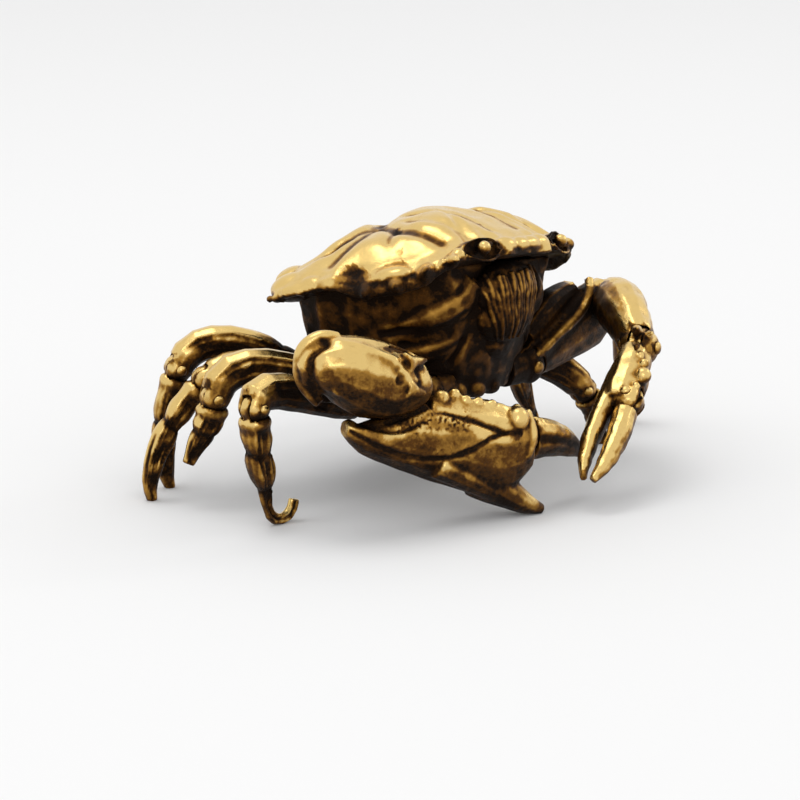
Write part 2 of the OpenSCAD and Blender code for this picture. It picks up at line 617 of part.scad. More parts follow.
module left_finger() {
    keys = [
        [1.7, 0.2, 1.5, 1.5, 1.4, 1.4], [4.6, 0.4, 1.6, 1.6, 1.4, 1.4], [7.6, 0.3, 1.3, 1.3, 1.2, 1.2],
        [10.4, 0, 0.9, 0.9, 0.9, 0.9], [12.4, -0.6, 0.5, 0.5, 0.45, 0.45]
    ];
    brass(BRASS) left_wrist_frame() rotate([-90, 0, 0]) at(LEFT_KNUCKLE) difference() {
        union() {
            difference() {
                limb(smooth(keys, 2));
                ball([SMALL_FINGER[0] + play, 0, 0]);
            }
            tongue(SMALL_FINGER, SMALL_FINGER[0] + 1, 4);
        }
        hole(SMALL_FINGER);
    }
}

module right_eye() {
    eye(-1);
}
module left_eye() {
    eye(1);
}
module right_hips() {
    brass(BRASS) for (leg = RIGHT_LEGS) hip(leg[0], leg[1], hip_stand, LEG);
}
module left_hips() {
    brass(BRASS) for (leg = LEFT_LEGS) hip(leg[0], leg[1], hip_stand, LEG);
}
module shoulders() {
    brass(BRASS) hip(RIGHT_SHOULDER, RIGHT_ARM_YAW, shoulder_stand, CLAW);
    brass(BRASS) hip(LEFT_SHOULDER, LEFT_ARM_YAW, shoulder_stand, CLAW);
}
module shoulder_rivets() {
    brass(BRIGHT_BRASS) plane(RIGHT_SHOULDER, RIGHT_ARM_YAW) at([0, RIGHT_SHOULDER[2]]) rivet(CLAW);
    brass(BRIGHT_BRASS) left_arm_plane() at([0, LEFT_SHOULDER[2]]) rivet(CLAW);
}
module left_elbow_rivet() {
    brass(BRIGHT_BRASS) left_elbow_frame() upright() rivet(CLAW);
}
module left_wrist_rivet() {
    brass(BRIGHT_BRASS) left_wrist_frame() rivet(CLAW);
}
module right_finger_rivet() {
    brass(BRIGHT_BRASS) right_finger_frame() rivet(FINGER);
}
module left_finger_rivet() {
    brass(BRIGHT_BRASS) left_wrist_frame() rotate([-90, 0, 0]) at(LEFT_KNUCKLE) rivet(SMALL_FINGER);
}
module right_thigh_1() {
    thigh(RIGHT_LEGS[0]);
}
module right_thigh_2() {
    thigh(RIGHT_LEGS[1]);
}
module right_thigh_3() {
    thigh(RIGHT_LEGS[2]);
}
module right_thigh_4() {
    thigh(RIGHT_LEGS[3]);
}
module right_shin_1() {
    shin(RIGHT_LEGS[0]);
}
module right_shin_2() {
    shin(RIGHT_LEGS[1]);
}
module right_shin_3() {
    shin(RIGHT_LEGS[2]);
}
module right_shin_4() {
    shin(RIGHT_LEGS[3]);
}
module right_knee_rivet_1() {
    knee_rivet(RIGHT_LEGS[0]);
}
module right_knee_rivet_2() {
    knee_rivet(RIGHT_LEGS[1]);
}
module right_knee_rivet_3() {
    knee_rivet(RIGHT_LEGS[2]);
}
module right_knee_rivet_4() {
    knee_rivet(RIGHT_LEGS[3]);
}
module left_thigh_1() {
    thigh(LEFT_LEGS[0]);
}
module left_thigh_2() {
    thigh(LEFT_LEGS[1]);
}
module left_thigh_3() {
    thigh(LEFT_LEGS[2]);
}
module left_thigh_4() {
    thigh(LEFT_LEGS[3]);
}
module left_shin_1() {
    shin(LEFT_LEGS[0]);
}
module left_shin_2() {
    shin(LEFT_LEGS[1]);
}
module left_shin_3() {
    shin(LEFT_LEGS[2]);
}
module left_shin_4() {
    shin(LEFT_LEGS[3]);
}
module left_knee_rivet_1() {
    knee_rivet(LEFT_LEGS[0]);
}
module left_knee_rivet_2() {
    knee_rivet(LEFT_LEGS[1]);
}
module left_knee_rivet_3() {
    knee_rivet(LEFT_LEGS[2]);
}
module left_knee_rivet_4() {
    knee_rivet(LEFT_LEGS[3]);
}

carapace();
underbody();
mouthparts();
abdomen();
right_eye();
left_eye();
right_hips();
left_hips();
shoulders();
hip_rivets();
shoulder_rivets();
right_thigh_1();
right_thigh_2();
right_thigh_3();
right_thigh_4();
left_thigh_1();
left_thigh_2();
left_thigh_3();
left_thigh_4();
right_shin_1();
right_shin_2();
right_shin_3();
right_shin_4();
left_shin_1();
left_shin_2();
left_shin_3();
left_shin_4();
right_knee_rivet_1();
right_knee_rivet_2();
right_knee_rivet_3();
right_knee_rivet_4();
left_knee_rivet_1();
left_knee_rivet_2();
left_knee_rivet_3();
left_knee_rivet_4();
right_arm();
left_arm();
right_carpus();
left_carpus();
right_palm();
left_palm();
right_finger();
left_finger();
right_elbow_rivet();
left_elbow_rivet();
right_wrist_rivet();
left_wrist_rivet();
right_finger_rivet();
left_finger_rivet();
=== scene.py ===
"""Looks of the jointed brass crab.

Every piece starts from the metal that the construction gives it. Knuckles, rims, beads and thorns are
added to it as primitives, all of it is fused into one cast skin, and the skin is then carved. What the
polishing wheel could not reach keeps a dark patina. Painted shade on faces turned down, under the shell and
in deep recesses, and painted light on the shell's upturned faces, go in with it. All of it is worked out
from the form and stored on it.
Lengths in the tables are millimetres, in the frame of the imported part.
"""

import json
import logging
import math
from dataclasses import dataclass, field
from enum import Enum

import bmesh
import bpy
import numpy as np
from mathutils import Matrix, Vector, noise
from mathutils.bvhtree import BVHTree
from mathutils.kdtree import KDTree

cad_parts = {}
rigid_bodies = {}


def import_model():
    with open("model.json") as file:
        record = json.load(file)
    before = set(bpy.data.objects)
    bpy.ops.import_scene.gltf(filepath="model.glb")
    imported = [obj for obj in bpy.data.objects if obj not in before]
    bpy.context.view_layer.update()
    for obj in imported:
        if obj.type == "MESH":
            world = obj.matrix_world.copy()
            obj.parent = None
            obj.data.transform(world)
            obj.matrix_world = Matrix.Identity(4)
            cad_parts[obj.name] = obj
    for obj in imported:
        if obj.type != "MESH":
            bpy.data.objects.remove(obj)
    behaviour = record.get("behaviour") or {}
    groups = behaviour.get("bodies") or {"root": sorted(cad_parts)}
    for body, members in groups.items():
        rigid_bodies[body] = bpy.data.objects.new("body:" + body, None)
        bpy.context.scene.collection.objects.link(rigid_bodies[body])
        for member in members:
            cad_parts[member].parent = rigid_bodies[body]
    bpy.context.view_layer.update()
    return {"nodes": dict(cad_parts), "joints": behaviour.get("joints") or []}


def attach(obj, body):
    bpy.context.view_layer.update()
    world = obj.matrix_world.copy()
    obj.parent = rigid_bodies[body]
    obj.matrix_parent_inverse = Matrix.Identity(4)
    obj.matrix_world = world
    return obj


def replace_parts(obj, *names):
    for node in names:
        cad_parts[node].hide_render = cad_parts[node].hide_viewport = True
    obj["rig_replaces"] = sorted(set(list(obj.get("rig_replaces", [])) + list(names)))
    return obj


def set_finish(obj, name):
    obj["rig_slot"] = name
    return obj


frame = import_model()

MM = 0.001
LOG = logging.getLogger("crab")

Point = tuple[float, float, float]
Path = list[Point]


class Finish(Enum):
    """The two finishes that the brass has. The aged one, darker, also stands for painted shade on the parts
    under the shell.
    """

    POLISHED = "polished_brass"
    AGED = "aged_brass"


@dataclass(frozen=True)
class BrassFinish:
    """How one finish of the brass looks.

    Args:
        bright: Colour where the wheel reached.
        warm: Colour of thinly tarnished metal and of light painted shade.
        brown: Colour of thickly tarnished metal and of deeper painted shade.
        black: Colour at the bottom of a crevice and in the deepest painted shade.
        gloss: Roughness where the wheel reached.
        satin: Roughness under full patina and full painted shade.
        tarnish_and_shade: Patina that even the open surface has, and for the aged brass also painted shade.
    """

    bright: Point = (0.74, 0.52, 0.19)
    warm: Point = (0.39, 0.2, 0.036)
    brown: Point = (0.10, 0.04, 0.007)
    black: Point = (0.010, 0.004, 0.001)
    gloss: float = 0.24
    satin: float = 0.5
    tarnish_and_shade: float = 0.0


FINISHES = {
    Finish.POLISHED: BrassFinish(),
    # Aged brass for the parts under the shell: darker and duller, partly aged metal and partly painted shade.
    Finish.AGED: BrassFinish(bright=(0.5, 0.33, 0.11), gloss=0.3, satin=0.6, tarnish_and_shade=0.22),
}


@dataclass(frozen=True)
class Stroke:
    """One pass of a carving tool along a path.

    Args:
        path: Points that the tool follows.
        width: Distance from the path at which the cut has mostly faded.
        depth: Height that is added; a groove has a negative one.
        stain: Patina that the pass leaves.
    """

    path: Path
    width: float
    depth: float
    stain: float = 0.0


# Shader groups


class ShaderGroups:
    """Node groups that every finish of the brass shares.

    The four scales count spots per metre, and the grain's height is in metres.
    """

    CLOUDS = 420.0
    SPECKS = 2300.0
    PITS = 5200.0
    DENTS = 620.0
    GRAIN_HEIGHT = 0.00022

    def __init__(self) -> None:
        """Builds each group once."""
        self.patina = self._patina()
        self.grain = self._grain()

    @staticmethod
    def _group(name: str, inputs: list[tuple[str, float]],
               outputs: list[tuple[str, str]]) -> bpy.types.NodeTree:
        """Makes an empty group.

        Args:
            name: Name of the group.
            inputs: Name and default of each number that goes in.
            outputs: Name and socket type of each value that comes out.

        Returns:
            The group, with an input node called "in" and an output node called "out".
        """
        tree = bpy.data.node_groups.new(name, "ShaderNodeTree")
        for label, value in inputs:
            socket = tree.interface.new_socket(label, in_out="INPUT", socket_type="NodeSocketFloat")
            socket.default_value = value
        for label, kind in outputs:
            tree.interface.new_socket(label, in_out="OUTPUT", socket_type=kind)
        tree.nodes.new("NodeGroupInput").name = "in"
        tree.nodes.new("NodeGroupOutput").name = "out"
        return tree

    @staticmethod
    def maths(tree: bpy.types.NodeTree, kind: str, *values: object) -> bpy.types.NodeSocket:
        """Adds a Math node.

        Args:
            tree: Tree that the node goes into.
            kind: Operation of the node.
            values: A socket or a number for each input.

        Returns:
            The node's result.
        """
        node = tree.nodes.new("ShaderNodeMath")
        node.operation = kind
        for i, value in enumerate(values):
            if isinstance(value, (int, float)):
                node.inputs[i].default_value = value
            else:
                tree.links.new(value, node.inputs[i])
        return node.outputs[0]

    @staticmethod
    def _noise(tree: bpy.types.NodeTree, scale: float, detail: float, rough: float) -> bpy.types.NodeSocket:
        """Noise on Object coordinates, whose scale counts per metre.

        Args:
            tree: Tree that the nodes go into.
            scale: Spots per metre.
            detail: Octaves of the noise.
            rough: Share of the finer octaves.

        Returns:
            The noise's value.
        """
        place = tree.nodes.new("ShaderNodeTexCoord")
        node = tree.nodes.new("ShaderNodeTexNoise")
        node.inputs["Scale"].default_value = scale
        node.inputs["Detail"].default_value = detail
        node.inputs["Roughness"].default_value = rough
        tree.links.new(place.outputs["Object"], node.inputs["Vector"])
        return node.outputs["Fac"]

    def _patina(self) -> bpy.types.NodeTree:
        """Mask of patina and painted shade: what is stored on the skin, broken up by spots and streaks.

        Returns:
            The group.
        """
        tree = self._group("patina_mask", [("Amount", 1.0), ("Spread", 0.5), ("Floor", 0.0)],
                           [("Mask", "NodeSocketFloat")])
        stored = tree.nodes.new("ShaderNodeAttribute")
        stored.attribute_name = "patina"
        source = tree.nodes["in"].outputs
        coarse = self._noise(tree, self.CLOUDS, 4.0, 0.6)
        fine = self._noise(tree, self.SPECKS, 3.0, 0.65)
        clouds = self.maths(tree, "MULTIPLY", self.maths(tree, "SUBTRACT", coarse, 0.5), 0.9)
        specks = self.maths(tree, "MULTIPLY", self.maths(tree, "SUBTRACT", fine, 0.5), 0.7)
        broken = self.maths(tree, "ADD", clouds, specks)
        swing = self.maths(tree, "MULTIPLY", broken, source["Spread"])
        edge = self.maths(tree, "MULTIPLY", stored.outputs["Fac"], source["Amount"])
        open_share = self.maths(tree, "MULTIPLY", swing, self.maths(tree, "ADD", edge, 0.12))
        total = self.maths(tree, "ADD", self.maths(tree, "ADD", edge, source["Floor"]), open_share)
        clamp = tree.nodes.new("ShaderNodeClamp")
        tree.links.new(total, clamp.inputs["Value"])
        tree.links.new(clamp.outputs[0], tree.nodes["out"].inputs["Mask"])
        return tree

    def _grain(self) -> bpy.types.NodeTree:
        """Grain of the casting: fine pits, and soft dents that the wheel left.

        Returns:
            The group.
        """
        tree = self._group("cast_grain", [("Pits", 0.3), ("Dents", 0.2), ("Mask", 0.0)],
                           [("Normal", "NodeSocketVector"), ("Scuff", "NodeSocketFloat")])
        source = tree.nodes["in"].outputs
        pits = self._noise(tree, self.PITS, 3.0, 0.7)
        dents = self._noise(tree, self.DENTS, 2.0, 0.5)
        rough_share = self.maths(tree, "MULTIPLY", source["Pits"],
                                 self.maths(tree, "ADD", source["Mask"], 0.16))
        height = self.maths(tree, "ADD", self.maths(tree, "MULTIPLY", pits, rough_share),
                            self.maths(tree, "MULTIPLY", dents, source["Dents"]))
        bump = tree.nodes.new("ShaderNodeBump")
        bump.inputs["Strength"].default_value = 1.0
        bump.inputs["Distance"].default_value = self.GRAIN_HEIGHT
        tree.links.new(height, bump.inputs["Height"])
        tree.links.new(bump.outputs["Normal"], tree.nodes["out"].inputs["Normal"])
        tree.links.new(self.maths(tree, "SUBTRACT", dents, 0.5), tree.nodes["out"].inputs["Scuff"])
        return tree


class Brass:
    """The material of one finish."""

    SPREAD = 1.1
    PITS = 0.55
    DENTS = 0.16
    SCUFF = 0.16
    DULLED = 0.12

    def __init__(self, kind: Finish, groups: ShaderGroups) -> None:
        """Builds the material.

        Args:
            kind: Finish that the material has.
            groups: Shared node groups.
        """
        look = FINISHES[kind]
        self.material = bpy.data.materials.new(kind.value)
        self.material.use_nodes = True
        tree = self.material.node_tree
        shader = tree.nodes["Principled BSDF"]
        mask = tree.nodes.new("ShaderNodeGroup")
        mask.node_tree = groups.patina
        mask.inputs["Amount"].default_value = 1.0
        mask.inputs["Spread"].default_value = self.SPREAD
        mask.inputs["Floor"].default_value = look.tarnish_and_shade
        ramp = tree.nodes.new("ShaderNodeValToRGB")
        ramp.color_ramp.elements[0].color = (*look.bright, 1.0)
        ramp.color_ramp.elements[1].color = (*look.black, 1.0)
        for place, colour in ((0.26, look.warm), (0.6, look.brown)):
            stop = ramp.color_ramp.elements.new(place)
            stop.color = (*colour, 1.0)
        tree.links.new(mask.outputs["Mask"], ramp.inputs["Fac"])
        tree.links.new(ramp.outputs["Color"], shader.inputs["Base Color"])
        grain = tree.nodes.new("ShaderNodeGroup")
        grain.node_tree = groups.grain
        grain.inputs["Pits"].default_value = self.PITS
        grain.inputs["Dents"].default_value = self.DENTS
        tree.links.new(mask.outputs["Mask"], grain.inputs["Mask"])
        tree.links.new(grain.outputs["Normal"], shader.inputs["Normal"])
        rough = ShaderGroups.maths(tree, "MULTIPLY_ADD", mask.outputs["Mask"], look.satin - look.gloss,
                                   look.gloss)
        rough = ShaderGroups.maths(tree, "MULTIPLY_ADD", grain.outputs["Scuff"], self.SCUFF, rough)
        tree.links.new(rough, shader.inputs["Roughness"])
        metal = ShaderGroups.maths(tree, "MULTIPLY_ADD", mask.outputs["Mask"], -self.DULLED, 1.0)
        tree.links.new(metal, shader.inputs["Metallic"])


# Casting


class Casting:
    """One piece of the ornament: lumps are joined, fused into one skin and carved.

    A groove as deep as GROOVE_DEPTH, in millimetres, holds GROOVE_STAIN of the full patina. BALL_SIDES,
    BALL_RINGS and THORN_SIDES count the faces round and along a lump before it is fused.
    """

    GROOVE_DEPTH = 0.13
    GROOVE_STAIN = 0.75
    BALL_SIDES = 24
    BALL_RINGS = 14
    THORN_SIDES = 20

    def __init__(self, name: str, nodes: list[str], finish: Finish = Finish.POLISHED,
                 voxel: float = 0.17) -> None:
        """Starts a casting.

        Args:
            name: Name of the piece.
            nodes: Nodes of the construction that it stands for.
            finish: Finish of its brass.
            voxel: Size of the grid that fuses its lumps.
        """
        self.name = name
        self.nodes = nodes
        self.finish = finish
        self.voxel = voxel
        self.lumps: list[bpy.types.Object] = []
        self.piece: bpy.types.Object | None = None
        self.co = np.zeros((0, 3))
        self.no = np.zeros((0, 3))
        # Patina and painted shade of each point, stored on the skin when the piece is finished.
        self.stain = np.zeros(0)
        self.links = np.zeros((0, 2), int)

    # Lumps

    def _keep(self, lump: bpy.types.Object) -> bpy.types.Object:
        """Puts a lump's place into its mesh and keeps it.

        Args:
            lump: Object that was just made.

        Returns:
            The same object.
        """
        lump.data.transform(lump.matrix_world)
        lump.matrix_world = Matrix.Identity(4)
        self.lumps.append(lump)
        return lump

    def node(self, name: str) -> "Casting":
        """Adds the metal of a node of the construction.

        Args:
            name: Name of the node.

        Returns:
            This casting.
        """
        mesh = frame["nodes"][name].data.copy()
        mesh.materials.clear()
        lump = bpy.data.objects.new(name + "_metal", mesh)
        bpy.context.scene.collection.objects.link(lump)
        pick(lump)
        bpy.ops.object.mode_set(mode="EDIT")
        bpy.ops.mesh.select_all(action="SELECT")
        bpy.ops.mesh.remove_doubles(threshold=1e-6)
        bpy.ops.object.mode_set(mode="OBJECT")
        self.lumps.append(lump)
        return self

    def ball(self, centre: Point, radii: Point | float, lie: Point = (0.0, 0.0, 1.0)) -> "Casting":
        """Adds a round or stretched ball.

        Args:
            centre: Middle of the ball.
            radii: Radius, or the radii across, across and along.
            lie: Direction of the ball's long axis.

        Returns:
            This casting.
        """
        size = (radii,) * 3 if isinstance(radii, (int, float)) else radii
        turn = Vector((0, 0, 1)).rotation_difference(Vector(lie).normalized())
        bpy.ops.mesh.primitive_uv_sphere_add(segments=self.BALL_SIDES, ring_count=self.BALL_RINGS, radius=1.0,
                                             location=Vector(centre) * MM)
        lump = bpy.context.object
        lump.matrix_world = Matrix.LocRotScale(Vector(centre) * MM, turn, Vector(size) * MM)
        self._keep(lump)
        return self

    def thorn(self, base: Point, tip: Point, radius: float, end: float = 0.12) -> "Casting":
        """Adds a thorn.

        Args:
            base: Middle of its foot.
            tip: Its point.
            radius: Radius of its foot.
            end: Radius of its point.

        Returns:
            This casting.
        """
        along = Vector(tip) - Vector(base)
        turn = Vector((0, 0, 1)).rotation_difference(along.normalized())
        bpy.ops.mesh.primitive_cone_add(vertices=self.THORN_SIDES, radius1=radius * MM, radius2=end * MM,
                                        depth=along.length * MM)
        lump = bpy.context.object
        lump.matrix_world = Matrix.LocRotScale((Vector(base) + along / 2) * MM, turn, Vector((1, 1, 1)))
        self._keep(lump)
        return self

    def rod(self, path: Path, radii: list[float] | float) -> "Casting":
        """Adds a round bar along a smooth path.

        Args:
            path: Points that it follows.
            radii: Radius, or a radius for each point.

        Returns:
            This casting.
        """
        size = [float(radii)] * len(path) if isinstance(radii, (int, float)) else radii
        bpy.ops.curve.primitive_nurbs_path_add()
        lump = bpy.context.object
        lump.matrix_world = Matrix.Identity(4)
        curve = lump.data
        curve.splines.clear()
        spline = curve.splines.new("NURBS")
        spline.points.add(len(path) - 1)
        for knot, p, r in zip(spline.points, path, size):
            knot.co = (p[0] * MM, p[1] * MM, p[2] * MM, 1.0)
            knot.radius = r
        spline.order_u = min(3, len(path))
        spline.use_endpoint_u = True
        spline.resolution_u = 6
        curve.dimensions = "3D"
        curve.bevel_depth = MM
        curve.bevel_resolution = 3
        curve.use_fill_caps = True
        pick(lump)
        bpy.ops.object.convert(target="MESH")
        self._keep(bpy.context.object)
        return self

    # Skin

    def fuse(self, smooth: int = 3) -> "Casting":
        """Fuses the lumps into one closed skin.

        Args:
            smooth: Passes of smoothing.

        Returns:
            This casting.
        """
        bpy.ops.object.select_all(action="DESELECT")
        for lump in self.lumps:
            lump.select_set(True)
        bpy.context.view_layer.objects.active = self.lumps[0]
        if len(self.lumps) > 1:
            bpy.ops.object.join()
        piece = bpy.context.view_layer.objects.active
        piece.name = self.name
        piece.data.name = self.name
        remesh = piece.modifiers.new("skin", "REMESH")
        remesh.mode = "VOXEL"
        remesh.voxel_size = self.voxel * MM
        remesh.use_smooth_shade = True
        bpy.ops.object.modifier_apply(modifier=remesh.name)
        if smooth:
            relax = piece.modifiers.new("relax", "SMOOTH")
            relax.factor = 0.5
            relax.iterations = smooth
            bpy.ops.object.modifier_apply(modifier=relax.name)
        self.piece = piece
        self._drop_specks()
        self._read()
        self.stain = np.zeros(len(self.co))
        return self

    def _drop_specks(self, least: int = 300) -> None:
        """Deletes the closed specks that the grid leaves inside the metal.

        Args:
            least: Fewest points of a skin that is kept.
        """
        mesh = bmesh.new()
        mesh.from_mesh(self.piece.data)
        mesh.verts.ensure_lookup_table()
        seen = [False] * len(mesh.verts)
        specks = []
        for start in mesh.verts:
            if seen[start.index]:
                continue
            seen[start.index] = True
            island = [start]
            for vert in island:
                for edge in vert.link_edges:
                    other = edge.other_vert(vert)
                    if not seen[other.index]:
                        seen[other.index] = True
                        island.append(other)
            if len(island) < least:
                specks.extend(island)
        bmesh.ops.delete(mesh, geom=specks, context="VERTS")
        mesh.to_mesh(self.piece.data)
        mesh.free()

    def _read(self) -> None:
        """Reads the skin's points, normals and edges, in millimetres."""
        mesh = self.piece.data
        count = len(mesh.vertices)
        co = np.empty(count * 3, np.float32)
        mesh.vertices.foreach_get("co", co)
        no = np.empty(count * 3, np.float32)
        mesh.vertices.foreach_get("normal", no)
        ends = np.empty(len(mesh.edges) * 2, np.int32)
        mesh.edges.foreach_get("vertices", ends)
        self.co = co.reshape(-1, 3).astype(float) / MM
        self.no = no.reshape(-1, 3).astype(float)
        self.links = ends.reshape(-1, 2)

    def write(self) -> None:
        """Writes the points back to the skin and reads its new normals."""
        mesh = self.piece.data
        mesh.vertices.foreach_set("co", (self.co * MM).astype(np.float32).ravel())
        mesh.update()
        self._read()

    def move(self, height: np.ndarray, stain: np.ndarray | None = None) -> "Casting":
        """Moves the skin along its normals.

        Args:
            height: Distance for each point.
            stain: Patina that the move leaves.

        Returns:
            This casting.
        """
        self.co = self.co + self.no * height[:, None]
        if stain is not None:
            self.stain = np.maximum(self.stain, stain)
        return self

    def reach(self, path: Path) -> np.ndarray:
        """Distance of every point of the skin from a path.

        Args:
            path: Points of the path.

        Returns:
            The distances.
        """
        p = np.asarray(path, float)
        if len(p) == 1:
            return np.linalg.norm(self.co - p[0], axis=1)
        best = np.full(len(self.co), 1e9)
        for a, b in zip(p[:-1], p[1:]):
            d = b - a
            t = np.clip(((self.co - a) @ d) / max(d @ d, 1e-12), 0, 1)
            best = np.minimum(best, np.linalg.norm(self.co - a - t[:, None] * d, axis=1))
        return best

    def carve(self, strokes: list[Stroke]) -> "Casting":
        """Carves the skin.

        Args:
            strokes: Passes of the tool.

        Returns:
            This casting.
        """
        height = np.zeros(len(self.co))
        stain = np.zeros(len(self.co))
        for stroke in strokes:
            fade = np.exp(-(self.reach(stroke.path) / stroke.width) ** 2)
            height += stroke.depth * fade
            stain = np.maximum(stain, stroke.stain * fade)
        self.move(height, stain)
        self.write()
        return self

    def roughen(self, amount: float, size: float, seed: float = 0.0) -> "Casting":
        """Makes the skin slightly uneven, as a cast and filed surface is.

        Args:
            amount: Height of the unevenness.
            size: Distance between its dents.
            seed: Shift of the pattern.

        Returns:
            This casting.
        """
        shift = Vector((seed, seed * 1.7, seed * 0.6))
        height = np.array([noise.noise(Vector(p) / size + shift) for p in self.co])
        self.move(amount * height)
        self.write()
        return self

    def cavity(self) -> np.ndarray:
        """How deep each point lies below its smoothed surroundings.

        Returns:
            Depth in millimetres, positive in a groove.
        """
        a, b = self.links[:, 0], self.links[:, 1]
        count = np.maximum(np.bincount(np.concatenate([a, b]), minlength=len(self.co)), 1)
        soft = self.co
        total = np.zeros(len(self.co))
        for i in range(16):
            sums = np.stack([np.bincount(a, soft[b, k], len(soft)) + np.bincount(b, soft[a, k], len(soft))
                             for k in range(3)], axis=1)
            soft = sums / count[:, None]
            if i in (3, 15):
                total += ((soft - self.co) * self.no).sum(axis=1) * (1.0 if i == 3 else 0.45)
        return total

    def finish_piece(self, body: str) -> bpy.types.Object:
        """Stores the carving's stain, with any painted shade, and hands the piece to the frame.

        Args:
            body: Body that the piece rides on.

        Returns:
            The finished piece.
        """
        attribute = self.piece.data.attributes.new("patina", "FLOAT", "POINT")
        deep = np.clip(self.cavity() / self.GROOVE_DEPTH, -0.5, 1.0)
        patina = np.clip(self.stain + self.GROOVE_STAIN * deep, -0.4, 1.0)
        attribute.data.foreach_set("value", patina.astype(np.float32))
        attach(self.piece, body)
        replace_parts(self.piece, *self.nodes)
        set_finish(self.piece, self.finish.value)
        LOG.info("%s: %d points", self.name, len(self.co))
        return self.piece


def pick(obj: bpy.types.Object) -> None:
    """Selects one object alone and makes it active.

    Args:
        obj: Object to select.
    """
    bpy.ops.object.select_all(action="DESELECT")
    obj.select_set(True)
    bpy.context.view_layer.objects.active = obj


def mirrored(path: Path) -> Path:
    """The same path on the crab's other side, in the shell's own frame."""
    return [(-x, y, z) for x, y, z in path]


def ramp(value: np.ndarray, low: float, high: float) -> np.ndarray:
    """Smooth step of an array from 0 at low to 1 at high."""
    t = np.clip((value - low) / (high - low), 0, 1)
    return t * t * (3 - 2 * t)


JOINTS = {j["name"]: j for j in frame["joints"]}


def pivot(name: str) -> np.ndarray:
    """Middle of a joint, in millimetres."""
    return np.array(JOINTS[name]["pos_m"]) / MM


def hinge_axis(name: str) -> np.ndarray:
    """Direction of a joint's axis."""
    axis = np.array(JOINTS[name]["axis"], float)
    return axis / np.linalg.norm(axis)


# Shell


